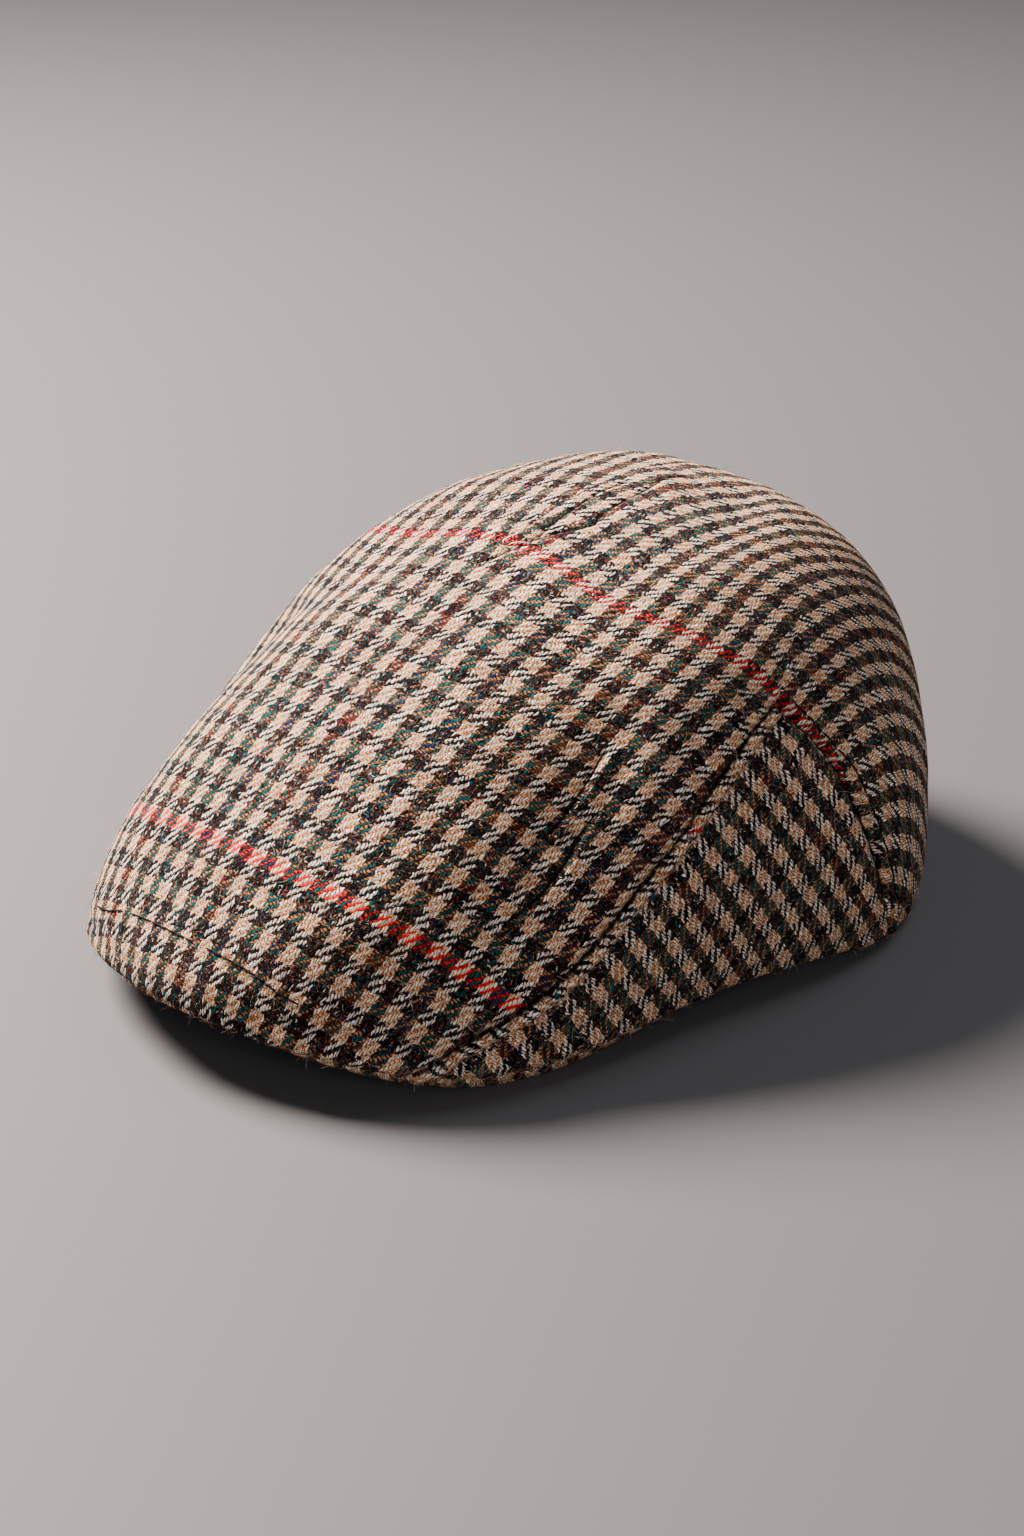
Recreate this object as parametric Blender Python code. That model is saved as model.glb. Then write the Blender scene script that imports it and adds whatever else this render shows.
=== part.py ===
"""Flat cap in wool tweed, built as it is sewn: a centre panel, two side panels and a stiff peak.

Metres, +Z up. The peak points along -Y and the wearer's left is +X. The cap rests on the peak's
two corners and on the back hem. Each panel is a piece of one smooth cap surface with the cloth's
thickness on its inner side, so the cap is hollow and open below.
"""
from collections import namedtuple

import bmesh
import bpy
import numpy as np

# Sizes of the whole cap
FRONT_REACH = 0.164        # from below the summit to the middle of the peak's edge
BACK_REACH = 0.080         # from below the summit to the back hem
HALF_WIDTH = 0.0915        # from the middle to the side hem
CROWN_HEIGHT = 0.1105      # from the surface that the cap rests on to the summit
PEAK_LIFT = 0.0142         # the peak's edge arches this high at its middle
SIDE_LIFT = 0.006          # the side hems arch this high

# Cloth and edges
CLOTH = 0.002              # wall of tweed
EDGE_CURL = 0.004          # the bottom edge curls in by this much
EDGE_CURL_HEIGHT = 0.008   # over this height
SEAM_GAP = 0.0003          # clearance between two panels
PEAK_GAP = 0.0004          # clearance between the peak and the panels over it

# Peak
PEAK_DEPTH = 0.053         # from the edge to the forehead, at the middle
PEAK_THICKNESS = 0.0035    # board with its cloth
PEAK_RISE = 0.031          # the forehead edge lies this far above the peak's edge, at the middle
STRIP_HEIGHT = 0.005       # the peak's own cloth shows this high below the panels at the corners
LAP = 0.012                # the peak follows the panels over it for this far, at the middle

# Sections of the cap, front to back, on planes that fan out from the summit. The angle is 0 at the
# front and 180 at the back. reach is the share of the plan's ellipse that the hem reaches. peak and
# side are the shares of PEAK_LIFT and SIDE_LIFT that lift the hem. A section is one cubic curve: it
# leaves the hem by lean, a share of its reach, and rise, a share of the crown's height, and comes
# level into the summit from shoulder, a share of its reach.
Section = namedtuple("Section", "angle reach peak side lean rise shoulder")
SECTIONS = (
    Section(0, 1.000, 1.00, 0.00, -0.028, 0.390, 0.387),
    Section(16, 1.018, 0.86, 0.00, -0.039, 0.401, 0.396),
    Section(32, 1.069, 0.36, 0.00, -0.077, 0.387, 0.440),
    Section(46, 1.072, -0.02, 0.00, -0.102, 0.394, 0.502),
    Section(58, 1.020, 0.00, 0.60, -0.105, 0.579, 0.564),
    Section(72, 0.977, 0.00, 1.00, -0.073, 0.736, 0.603),
    Section(90, 0.988, 0.00, 0.32, -0.006, 0.775, 0.551),
    Section(112, 0.911, 0.00, -0.02, -0.026, 0.788, 0.556),
    Section(142, 0.920, 0.00, -0.02, -0.110, 0.774, 0.577),
    Section(180, 1.000, 0.00, -0.02, -0.160, 0.739, 0.563),
)

# The panels' bottom edge stays above the peak's strip. height is a share of STRIP_HEIGHT.
PanelEdge = namedtuple("PanelEdge", "angle height")
PANEL_EDGES = (
    PanelEdge(0, 0.20),
    PanelEdge(16, 0.24),
    PanelEdge(30, 0.85),
    PanelEdge(38, 1.00),
    PanelEdge(50, 1.00),
    PanelEdge(58, 0.60),
    PanelEdge(65, 0.12),
    PanelEdge(70, 0.00),
    PanelEdge(180, 0.00),
)

# The side panel's seam with the centre panel: up from its tip at the peak's corner to the point high
# on the side, and down to the hem. up is 0 at the hem and 1 at the summit.
SeamPoint = namedtuple("SeamPoint", "angle up")
TIP_ANGLE = 36.0
HEM_ANGLE = 94.5
FRONT_SEAM = (
    SeamPoint(42.0, 0.120),
    SeamPoint(47.5, 0.155),
    SeamPoint(52.5, 0.189),
    SeamPoint(57.0, 0.230),
    SeamPoint(62.0, 0.268),
    SeamPoint(67.3, 0.316),
    SeamPoint(72.0, 0.356),
    SeamPoint(76.0, 0.381),
)
BACK_SEAM = (
    SeamPoint(79.0, 0.340),
    SeamPoint(82.0, 0.292),
    SeamPoint(84.7, 0.240),
    SeamPoint(87.0, 0.182),
    SeamPoint(89.3, 0.124),
    SeamPoint(91.8, 0.062),
)

# Dents and folds, each along a line on the surface from one (angle, up) place to another. depth and
# width are shares of CLOTH and of HALF_WIDTH, and side is -1 or 1 for one side, 0 for both.
Dent = namedtuple("Dent", "angle_1 up_1 angle_2 up_2 depth width side")
DENTS = (
    Dent(44.0, 0.290, 53.5, 0.475, 1.30, 0.110, 0),    # where the crown meets the peak's corner
    Dent(55.0, 0.730, 125.0, 0.770, 0.90, 0.085, 1),   # soft valley beside the dart
    Dent(16.0, 0.790, 165.0, 0.880, 0.35, 0.045, 1),   # the dart's sewn line on the crown
    Dent(150.0, 0.350, 165.0, 0.620, 0.60, 0.120, -1), # slack of the back
)

# The peak under the panels: depth and rise are shares of PEAK_DEPTH and PEAK_RISE.
PeakSection = namedtuple("PeakSection", "angle depth rise")
PEAK_SECTIONS = (
    PeakSection(0, 1.00, 1.00),
    PeakSection(16, 0.97, 0.95),
    PeakSection(32, 0.84, 0.80),
    PeakSection(46, 0.56, 0.55),
    PeakSection(58, 0.30, 0.30),
    PeakSection(64, 0.22, 0.20),
)
PEAK_END_ANGLE = 60.0

# How finely each piece is faceted
CENTRE_COLUMNS = 18        # in each half
FRONT_SEAM_STEPS = 25      # along the seam up to the side panel's point, in both panels
BACK_SEAM_STEPS = 12       # and down from there to the hem
CENTRE_FADE = 4            # the bend of the front and back edges fades out this fast inside it
PEAK_COLUMNS = 18          # in each half
DENT_SAMPLES = 24          # places tested along each dent's line
CURVE_SAMPLES = 24         # between two places of a rounded curve
EDGE_SAMPLES = 200         # along an edge before it is spaced evenly
SHARP_ANGLE = 50           # degrees between two faces that makes their edge a sharp one
TINY = 0.0005              # step for slopes, as a share of the section's length
MERGE = 0.000001           # points closer than this are one


def column(table, name):
    return np.array([getattr(row, name) for row in table], float)


def spline(table, name, angle):
    """Value of a table's column at an angle: a cubic spline, level at both ends as both mirror."""
    knots = column(table, "angle")
    values = column(table, name)
    spans = np.diff(knots)
    rises = np.diff(values) / spans
    count = len(knots)
    matrix = np.eye(count)
    target = np.zeros(count)
    for i in range(1, count - 1):
        matrix[i, i - 1] = spans[i]
        matrix[i, i] = 2 * (spans[i - 1] + spans[i])
        matrix[i, i + 1] = spans[i - 1]
        target[i] = 3 * (spans[i] * rises[i - 1] + spans[i - 1] * rises[i])
    slopes = np.linalg.solve(matrix, target)
    at = np.clip(np.abs(angle), knots[0], knots[-1])
    k = np.clip(np.searchsorted(knots, at, side="right") - 1, 0, count - 2)
    s = (at - knots[k]) / spans[k]
    curve = values[k] * (1 + 2 * s) * (1 - s) ** 2 + values[k + 1] * s * s * (3 - 2 * s)
    return curve + spans[k] * (slopes[k] * s * (1 - s) ** 2 - slopes[k + 1] * s * s * (1 - s))


def straight(table, name, angle):
    """Value of a table's column at an angle, straight between its rows."""
    return np.interp(np.abs(angle), column(table, "angle"), column(table, name))


def flat_place(angle, up):
    """Place on the flat disc that stands for the cap: the rim is the hem, the middle the summit."""
    turn = np.radians(angle)
    return np.stack([(1 - up) * np.sin(turn), -(1 - up) * np.cos(turn)], -1)


def hem_height(angle):
    lift = PEAK_LIFT * spline(SECTIONS, "peak", angle) + SIDE_LIFT * spline(SECTIONS, "side", angle)
    return np.maximum(lift, 0)


def smooth_surface(place):
    """Cap surface without its dents, from places on the disc."""
    radius = np.hypot(place[..., 0], place[..., 1])
    angle = np.degrees(np.arctan2(place[..., 0], -place[..., 1]))
    up = 1 - radius
    turn = np.radians(angle)
    share = spline(SECTIONS, "reach", angle)
    depth = BACK_REACH + (FRONT_REACH - BACK_REACH) * (1 + np.cos(turn)) / 2
    across = share * HALF_WIDTH * np.sin(turn)
    along = -share * depth * np.cos(turn)
    low = hem_height(angle)
    lean = 1 - spline(SECTIONS, "lean", angle)
    rise = CROWN_HEIGHT * spline(SECTIONS, "rise", angle)
    shoulder = spline(SECTIONS, "shoulder", angle)
    w0 = (1 - up) ** 3
    w1 = 3 * (1 - up) ** 2 * up
    w2 = 3 * (1 - up) * up * up
    w3 = up ** 3
    out = w0 + w1 * lean + w2 * shoulder
    height = w0 * low + w1 * rise + (w2 + w3) * CROWN_HEIGHT
    curl = EDGE_CURL * np.clip(1 - (height - low) / EDGE_CURL_HEIGHT, 0, 1) ** 2
    out = out - curl / np.hypot(across, along)
    return np.stack([out * across, out * along, height], -1)


def normals(surface, place):
    """Outward normals of a surface over the disc."""
    step = TINY * np.array([[1.0, 0.0], [0.0, 1.0]])
    dx = surface(place + step[0]) - surface(place - step[0])
    dy = surface(place + step[1]) - surface(place - step[1])
    normal = np.cross(dx, dy)
    return normal / np.linalg.norm(normal, axis=-1, keepdims=True)


def dent_depth(points):
    total = np.zeros(points.shape[:-1])
    for dent in DENTS:
        along = np.linspace(0, 1, DENT_SAMPLES)
        angles = dent.angle_1 + (dent.angle_2 - dent.angle_1) * along
        ups = dent.up_1 + (dent.up_2 - dent.up_1) * along
        for side in (-1, 1):
            if dent.side == -side:
                continue
            line = smooth_surface(flat_place(side * angles, ups))
            away = np.linalg.norm(points[..., None, :] - line, axis=-1).min(-1)
            width = dent.width * HALF_WIDTH
            total += dent.depth * CLOTH * np.exp(-(away / width) ** 2)
    return total


def cap_surface(place):
    """Outer surface of the cap, with its dents, from places on the disc."""
    points = smooth_surface(place)
    return points - normals(smooth_surface, place) * dent_depth(points)[..., None]


def shifted(curve, distance):
    """Curve on the disc moved sideways so that it moves by a distance on the cap."""
    tangent = np.gradient(curve, axis=0)
    step = TINY * np.array([[1.0, 0.0], [0.0, 1.0]])
    dx = (cap_surface(curve + step[0]) - cap_surface(curve - step[0])) / (2 * TINY)
    dy = (cap_surface(curve + step[1]) - cap_surface(curve - step[1])) / (2 * TINY)
    moved = []
    for t, ex, ey in zip(tangent, dx, dy):
        forward = ex * t[0] + ey * t[1]
        sideways = np.cross(np.cross(ex, ey), forward)
        sideways /= np.linalg.norm(sideways)
        grid = np.stack([ex, ey], 1)
        moved.append(np.linalg.lstsq(grid, sideways * distance, rcond=None)[0])
    return curve + np.array(moved)


def panel_edge_up(angle):
    """How far up its section the panels' bottom edge lies."""
    height = STRIP_HEIGHT * straight(PANEL_EDGES, "height", angle)
    climb = 3 * (CROWN_HEIGHT * spline(SECTIONS, "rise", angle) - hem_height(angle))
    return height / climb


def edge_curve(angles):
    """Panels' bottom edge on the disc."""
    return flat_place(angles, panel_edge_up(angles))


def resample(curve, count):
    """Same curve on the disc with points evenly spaced along the cap."""
    points = smooth_surface(curve)
    length = np.concatenate([[0], np.cumsum(np.linalg.norm(np.diff(points, axis=0), axis=1))])
    at = np.linspace(0, length[-1], count)
    return np.stack([np.interp(at, length, curve[:, 0]), np.interp(at, length, curve[:, 1])], -1)


def rounded(corners):
    """Dense curve through a few places on the disc, bending smoothly between them."""
    corners = np.asarray(corners)
    ends = np.concatenate([[2 * corners[0] - corners[1]], corners, [2 * corners[-1] - corners[-2]]])
    dense = []
    for k in range(1, len(ends) - 2):
        p0, p1, p2, p3 = ends[k - 1:k + 3]
        s = np.linspace(0, 1, CURVE_SAMPLES, endpoint=False)[:, None]
        dense.append(0.5 * (2 * p1 + (p2 - p0) * s + (2 * p0 - 5 * p1 + 4 * p2 - p3) * s * s
                            + (3 * p1 - p0 - 3 * p2 + p3) * s ** 3))
    dense.append(corners[-1:])
    return np.concatenate(dense)


def seam(distance):
    """Seam from the tip at the peak's corner up to the side panel's point and down to the hem."""
    tip = edge_curve(np.array([TIP_ANGLE]))
    rise = flat_place(column(FRONT_SEAM, "angle"), column(FRONT_SEAM, "up"))
    fall = flat_place(column(BACK_SEAM, "angle"), column(BACK_SEAM, "up"))
    hem = edge_curve(np.array([HEM_ANGLE]))
    front = resample(rounded(np.concatenate([tip, rise])), FRONT_SEAM_STEPS + 1)
    back = resample(rounded(np.concatenate([rise[-1:], fall, hem])), BACK_SEAM_STEPS + 1)
    moved = shifted(np.concatenate([front, back[1:]]), distance)
    moved[-1] = moved[-1] / np.linalg.norm(moved[-1])
    return moved


def patch(left, right, bottom, top, fade=1):
    """Grid on the disc between four curves: rows run from left to right, bottom to top.

    The bend of the bottom and top curves fades out along the sides, faster for a larger fade.
    """
    v = np.linspace(0, 1, len(left))[:, None, None]
    u = np.linspace(0, 1, len(bottom))[None, :, None]
    across = (1 - u) * left[:, None] + u * right[:, None]
    bottom_bend = bottom - ((1 - u) * bottom[0] + u * bottom[-1])
    top_bend = top - ((1 - u) * top[0] + u * top[-1])
    return across + (1 - v) ** fade * bottom_bend + v ** fade * top_bend


def level_hem(outer, inner, row):
    """The hem's underside is level: its inner points get the height of the outer ones."""
    inner[row, :, 2] = outer[row, :, 2]


def shell(name, outer, inner, material):
    """Closed solid between two grids of points of the same size, joined all round their edges."""
    rows, columns = outer.shape[:2]
    mesh = bmesh.new()
    sides = []
    for grid in (outer, inner):
        sides.append([[mesh.verts.new(point) for point in row] for row in grid])

    def face(corners):
        different = []
        for corner in corners:
            if all((corner.co - other.co).length > MERGE for other in different):
                different.append(corner)
        if len(different) > 2:
            mesh.faces.new(different)

    for i in range(rows - 1):
        for j in range(columns - 1):
            for side in sides:
                face((side[i][j], side[i][j + 1], side[i + 1][j + 1], side[i + 1][j]))
    ring = [(0, j) for j in range(columns)] + [(i, columns - 1) for i in range(1, rows)]
    ring += [(rows - 1, j) for j in range(columns - 2, -1, -1)] + [(i, 0) for i in range(rows - 2, 0, -1)]
    for (i, j), (k, m) in zip(ring, ring[1:] + ring[:1]):
        face((sides[0][i][j], sides[0][k][m], sides[1][k][m], sides[1][i][j]))
    bmesh.ops.remove_doubles(mesh, verts=mesh.verts, dist=MERGE)
    return finish(name, mesh, material)


def finish(name, mesh, material):
    """Object from a closed mesh with its faces pointing out, smooth but for its edges."""
    bmesh.ops.triangulate(mesh, faces=mesh.faces)
    bmesh.ops.recalc_face_normals(mesh, faces=mesh.faces)
    data = bpy.data.meshes.new(name)
    mesh.to_mesh(data)
    mesh.free()
    data.materials.append(material)
    data.shade_smooth()
    data.set_sharp_from_angle(angle=np.radians(SHARP_ANGLE))
    piece = bpy.data.objects.new(name, data)
    bpy.context.collection.objects.link(piece)
    return piece


def tweed(name, colour, roughness):
    material = bpy.data.materials.new(name)
    material.use_nodes = True
    shader = material.node_tree.nodes["Principled BSDF"]
    shader.inputs["Base Color"].default_value = (*colour, 1)
    shader.inputs["Roughness"].default_value = roughness
    shader.inputs["Metallic"].default_value = 0
    material.diffuse_color = (*colour, 1)
    return material


def centre_panel(material):
    """One piece from the peak's edge over the crown to the back hem."""
    side = seam(SEAM_GAP / 2)
    front = edge_curve(np.linspace(0, TIP_ANGLE, CENTRE_COLUMNS + 1))
    back = edge_curve(np.linspace(180, HEM_ANGLE, CENTRE_COLUMNS + 1))
    front[-1] = side[0]
    back[-1] = side[-1]
    middle = resample(np.linspace(front[0], back[0], EDGE_SAMPLES), len(side))
    half = patch(middle, side, front, back, CENTRE_FADE)
    mirrored = half[:, :0:-1] * np.array([-1, 1])
    grid = np.concatenate([mirrored, half], axis=1)
    outer = cap_surface(grid)
    inner = outer - normals(cap_surface, grid) * CLOTH
    level_hem(outer, inner, -1)
    return shell("top_panel", outer, inner, material)


def side_panel(name, side, material):
    """Panel that rises to a point on the side and runs forward as a wedge along the peak's edge."""
    whole = seam(-SEAM_GAP / 2)
    front = whole[:FRONT_SEAM_STEPS + 1]
    behind = whole[FRONT_SEAM_STEPS:]
    ends = np.degrees(np.arctan2(whole[[0, -1], 0], -whole[[0, -1], 1]))
    hem = resample(edge_curve(np.linspace(ends[0], ends[1], EDGE_SAMPLES)), FRONT_SEAM_STEPS + 1)
    front[0] = hem[0]
    behind[-1] = hem[-1]
    grid = patch(np.repeat(hem[:1], BACK_SEAM_STEPS + 1, axis=0), behind[::-1], hem, front)
    grid = grid * np.array([side, 1])
    outer = cap_surface(grid)
    inner = outer - normals(cap_surface, grid) * CLOTH
    level_hem(outer, inner, 0)
    return shell(name, outer, inner, material)


def peak(material):
    """Stiff peak: its edge shows below the panels, then it runs under them to the forehead."""
    half = np.linspace(0, 1, PEAK_COLUMNS + 1)[1:] * PEAK_END_ANGLE
    angles = np.concatenate([-half[::-1], [0], half])
    edge_up = panel_edge_up(angles)
    low = hem_height(angles)
    slope_up = 3 * (CROWN_HEIGHT * spline(SECTIONS, "rise", angles) - low)
    strip_up = edge_up - PEAK_GAP / slope_up
    lap_up = edge_up + LAP * straight(PEAK_SECTIONS, "depth", angles) / slope_up

    def place(up):
        return flat_place(angles, up)

    def under(up, depth):
        spot = place(up)
        return cap_surface(spot) - normals(cap_surface, spot) * depth[:, None]

    covered = np.full(len(angles), CLOTH + PEAK_GAP)
    board = covered + PEAK_THICKNESS
    rim = cap_surface(place(np.zeros(len(angles))))
    strip = cap_surface(place(strip_up))
    ledge = under(strip_up, covered)
    ledge[:, 2] = strip[:, 2]
    inward = -rim * np.array([1, 1, 0])
    reach = np.linalg.norm(inward, axis=1, keepdims=True)
    inward = inward / reach
    forehead = rim + inward * (PEAK_DEPTH * straight(PEAK_SECTIONS, "depth", angles))[:, None]
    forehead[:, 2] = low + PEAK_RISE * straight(PEAK_SECTIONS, "rise", angles)
    heel = rim + inward * board[:, None]
    drop = np.array([0, 0, PEAK_THICKNESS])
    loop = [rim, strip, ledge, under(lap_up, covered), forehead,
            forehead - drop, under(lap_up, board), heel]
    mesh = bmesh.new()
    rings = [[mesh.verts.new(point) for point in section] for section in np.stack(loop, 1)]
    for ring, following in zip(rings, rings[1:]):
        for k in range(len(ring)):
            after = (k + 1) % len(ring)
            mesh.faces.new((ring[k], ring[after], following[after], following[k]))
    for end in (rings[0], rings[-1]):
        rim_corner, strip_corner, ledge_corner, lap_top, brow, under_brow, lap_bottom, heel_corner = end
        mesh.faces.new((rim_corner, strip_corner, ledge_corner, heel_corner))
        mesh.faces.new((ledge_corner, lap_top, lap_bottom, heel_corner))
        mesh.faces.new((lap_top, brow, under_brow, lap_bottom))
    return finish("peak", mesh, material)


def clear_scene():
    for item in list(bpy.data.objects):
        bpy.data.objects.remove(item, do_unlink=True)


def centre_on_origin(pieces):
    """One empty carries every piece, placed so that the origin is below the middle of the cap."""
    corners = np.array([vertex.co for piece in pieces for vertex in piece.data.vertices])
    low = corners.min(0)
    high = corners.max(0)
    cap = bpy.data.objects.new("cap", None)
    bpy.context.collection.objects.link(cap)
    for piece in pieces:
        piece.parent = cap
    cap.location = (-(low[0] + high[0]) / 2, -(low[1] + high[1]) / 2, -low[2])


clear_scene()
crown_cloth = tweed("tweed_centre", (0.30, 0.22, 0.17), 0.92)
left_cloth = tweed("tweed_side_left", (0.26, 0.19, 0.15), 0.92)
right_cloth = tweed("tweed_side_right", (0.26, 0.19, 0.15), 0.92)
peak_cloth = tweed("tweed_peak", (0.22, 0.16, 0.13), 0.92)
cap_pieces = [
    centre_panel(crown_cloth),
    side_panel("side_panel_left", 1, left_cloth),
    side_panel("side_panel_right", -1, right_cloth),
    peak(peak_cloth),
]
centre_on_origin(cap_pieces)
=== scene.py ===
"""Flat cap in checked wool tweed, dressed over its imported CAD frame, for one still view and all sides."""
from collections import namedtuple
import math

import bmesh
import bpy
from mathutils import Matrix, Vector, noise
from mathutils.bvhtree import BVHTree
from mathutils.kdtree import KDTree
import numpy as np


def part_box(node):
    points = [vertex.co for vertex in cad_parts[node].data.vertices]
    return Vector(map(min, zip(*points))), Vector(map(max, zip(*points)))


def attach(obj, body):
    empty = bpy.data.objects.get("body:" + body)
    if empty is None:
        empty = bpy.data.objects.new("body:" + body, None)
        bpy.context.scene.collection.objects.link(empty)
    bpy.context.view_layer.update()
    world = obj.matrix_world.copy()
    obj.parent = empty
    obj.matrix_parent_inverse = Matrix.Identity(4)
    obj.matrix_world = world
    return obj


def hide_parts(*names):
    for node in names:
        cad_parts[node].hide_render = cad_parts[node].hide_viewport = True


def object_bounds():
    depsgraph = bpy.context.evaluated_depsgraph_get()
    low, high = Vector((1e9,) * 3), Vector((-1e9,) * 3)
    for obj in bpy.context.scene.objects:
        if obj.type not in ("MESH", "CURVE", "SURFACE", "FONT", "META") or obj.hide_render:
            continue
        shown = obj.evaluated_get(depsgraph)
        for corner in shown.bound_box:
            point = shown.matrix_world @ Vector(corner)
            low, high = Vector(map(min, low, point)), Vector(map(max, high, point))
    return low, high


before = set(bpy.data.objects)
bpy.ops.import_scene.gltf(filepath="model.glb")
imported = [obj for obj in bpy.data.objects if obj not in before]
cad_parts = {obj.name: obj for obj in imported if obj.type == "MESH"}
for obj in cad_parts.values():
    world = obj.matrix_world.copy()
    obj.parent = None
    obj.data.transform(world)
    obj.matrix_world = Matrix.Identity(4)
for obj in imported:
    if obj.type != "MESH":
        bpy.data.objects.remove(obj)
cad_low, cad_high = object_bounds()

# The view and the studio
# The camera stands at the cap's left front, a little above it. The floor is plain and pale. One large
# soft light hangs high on the far left, so the crown is bright and the near side panel lies in shade.
CAMERA_EYE = (0.50256, -0.52373, 0.36105)
CAMERA_TURN = math.radians(43.88)
CAMERA_TILT = math.radians(23.93)
CAMERA_LENS = 70.65        # mm, for the 36 mm long side of a 1024 x 1536 picture

camera_data = bpy.data.cameras.new("camera")
camera_data.sensor_fit = "VERTICAL"
camera_data.sensor_height = 36
camera_data.lens = CAMERA_LENS
camera = bpy.data.objects.new("camera", camera_data)
camera.location = CAMERA_EYE
camera.rotation_euler = (math.pi / 2 - CAMERA_TILT, 0, CAMERA_TURN)
bpy.context.collection.objects.link(camera)
bpy.context.scene.camera = camera


def linear(code):
    """Linear colour from an sRGB hex value."""
    shares = np.array([int(code[k:k + 2], 16) / 255 for k in (0, 2, 4)])
    curved = ((shares + 0.055) / 1.055) ** 2.4
    return (*np.where(shares <= 0.04045, shares / 12.92, curved), 1.0)


def add(tree, kind, inputs=(), output=0, **settings):
    """Add a shader node: inputs are values or other sockets, settings its own. Returns one of its outputs."""
    new = tree.nodes.new("ShaderNode" + kind)
    for name, value in settings.items():
        setattr(new, name, value)
    for socket, value in dict(inputs).items():
        if isinstance(value, bpy.types.NodeSocket):
            tree.links.new(value, new.inputs[socket])
        else:
            new.inputs[socket].default_value = value
    return new.outputs[output]


def mesh_object(name, mesh, material):
    """Object with a finished mesh and its one material."""
    data = bpy.data.meshes.new(name)
    mesh.to_mesh(data)
    mesh.free()
    data.materials.append(material)
    made = bpy.data.objects.new(name, data)
    bpy.context.collection.objects.link(made)
    return made


# Floor: matt painted studio board. Its grey looks pale under the strong light, and has no gloss.
floor_paint = bpy.data.materials.new("matt_grey_paint")
floor_paint.use_nodes = True
floor_shader = floor_paint.node_tree.nodes["Principled BSDF"]
floor_shader.inputs["Base Color"].default_value = linear("4C4C50")
floor_shader.inputs["Roughness"].default_value = 0.7
floor_mesh = bmesh.new()
bmesh.ops.create_grid(floor_mesh, x_segments=1, y_segments=1, size=6)
floor = mesh_object("floor", floor_mesh, floor_paint)
floor.location = (0, 0, cad_low[2])

AIM_HEIGHT = 0.05          # the lights point at the middle of the cap
SoftLight = namedtuple("SoftLight", "name turn height distance size watts colour")
for soft_light in (
    SoftLight("key_light", 276, 43, 1.5, 0.7, 180, "FFF0E2"),
    SoftLight("top_light", 170, 60, 1.5, 0.7, 7, "FFFFFF"),
    SoftLight("front_fill", 50, 25, 2.0, 1.2, 15, "FFF6F2"),
):
    light_data = bpy.data.lights.new(soft_light.name, "AREA")
    light_data.shape = "DISK"
    light_data.size = soft_light.size
    light_data.energy = soft_light.watts
    light_data.color = linear(soft_light.colour)[:3]
    light = bpy.data.objects.new(soft_light.name, light_data)
    around = math.radians(soft_light.turn)
    height = math.radians(soft_light.height)
    level = math.cos(height)
    away = Vector((math.sin(around) * level, -math.cos(around) * level, math.sin(height)))
    light.location = away * soft_light.distance + Vector((0, 0, AIM_HEIGHT))
    light.rotation_euler = away.to_track_quat("Z", "Y").to_euler()
    bpy.context.collection.objects.link(light)

world = bpy.data.worlds.new("studio")
world.use_nodes = True
world.node_tree.nodes["Background"].inputs["Color"].default_value = linear("E6E8EC")
world.node_tree.nodes["Background"].inputs["Strength"].default_value = 0.15
bpy.context.scene.world = world

# Centre panel
# One shaped piece of tweed from the peak's edge over the crown to the back hem. It is cut on the straight
# grain, so its checks run front to back, and a dart on the wearer's left of the crown takes in its
# fullness. Its edges are turned in and sewn down, and two short creases break it beside the front seam.
FRONT_REACH = 0.164        # from below the summit to the middle of the peak's edge
BACK_REACH = 0.080         # from below the summit to the back hem
HALF_WIDTH = 0.0915        # from the middle to the side hem
CROWN_HEIGHT = 0.1105      # from the surface that the cap rests on to the summit
PEAK_LIFT = 0.0142         # the peak's edge arches this high at its middle
SIDE_LIFT = 0.006          # the side hems arch this high
STRIP_HEIGHT = 0.005       # the peak's own cloth shows this high below the panels at the corners
EDGE_CURL = 0.004          # the bottom edge curls in by this much
EDGE_CURL_HEIGHT = 0.008   # over this height
CLOTH = 0.002              # thickness of the tweed with its turned edges
TIP_ANGLE = 36.0           # the side panel's front tip
HEM_ANGLE = 94.5           # the back end of the side panel's hem

# Sections front to back on planes that fan out from the summit, as in the CAD model: each is one cubic
# curve from the hem to the summit. All columns but the angle are shares of the sizes above.
Section = namedtuple("Section", "angle reach peak side lean rise shoulder")
SECTIONS = (
    Section(0, 1.000, 1.00, 0.00, -0.028, 0.390, 0.387),
    Section(16, 1.018, 0.86, 0.00, -0.039, 0.401, 0.396),
    Section(32, 1.069, 0.36, 0.00, -0.077, 0.387, 0.440),
    Section(46, 1.072, -0.02, 0.00, -0.102, 0.394, 0.502),
    Section(58, 1.020, 0.00, 0.60, -0.105, 0.579, 0.564),
    Section(72, 0.977, 0.00, 1.00, -0.073, 0.736, 0.603),
    Section(90, 0.988, 0.00, 0.32, -0.006, 0.775, 0.551),
    Section(112, 0.911, 0.00, -0.02, -0.026, 0.788, 0.556),
    Section(142, 0.920, 0.00, -0.02, -0.110, 0.774, 0.577),
    Section(180, 1.000, 0.00, -0.02, -0.160, 0.739, 0.563),
)

# Height of the panels' bottom edge above the hem, in shares of the strip's height.
PanelEdge = namedtuple("PanelEdge", "angle height")
PANEL_EDGES = (
    PanelEdge(0, 0.20),
    PanelEdge(16, 0.24),
    PanelEdge(30, 0.85),
    PanelEdge(38, 1.00),
    PanelEdge(50, 1.00),
    PanelEdge(58, 0.60),
    PanelEdge(65, 0.12),
    PanelEdge(70, 0.00),
    PanelEdge(180, 0.00),
)

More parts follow.
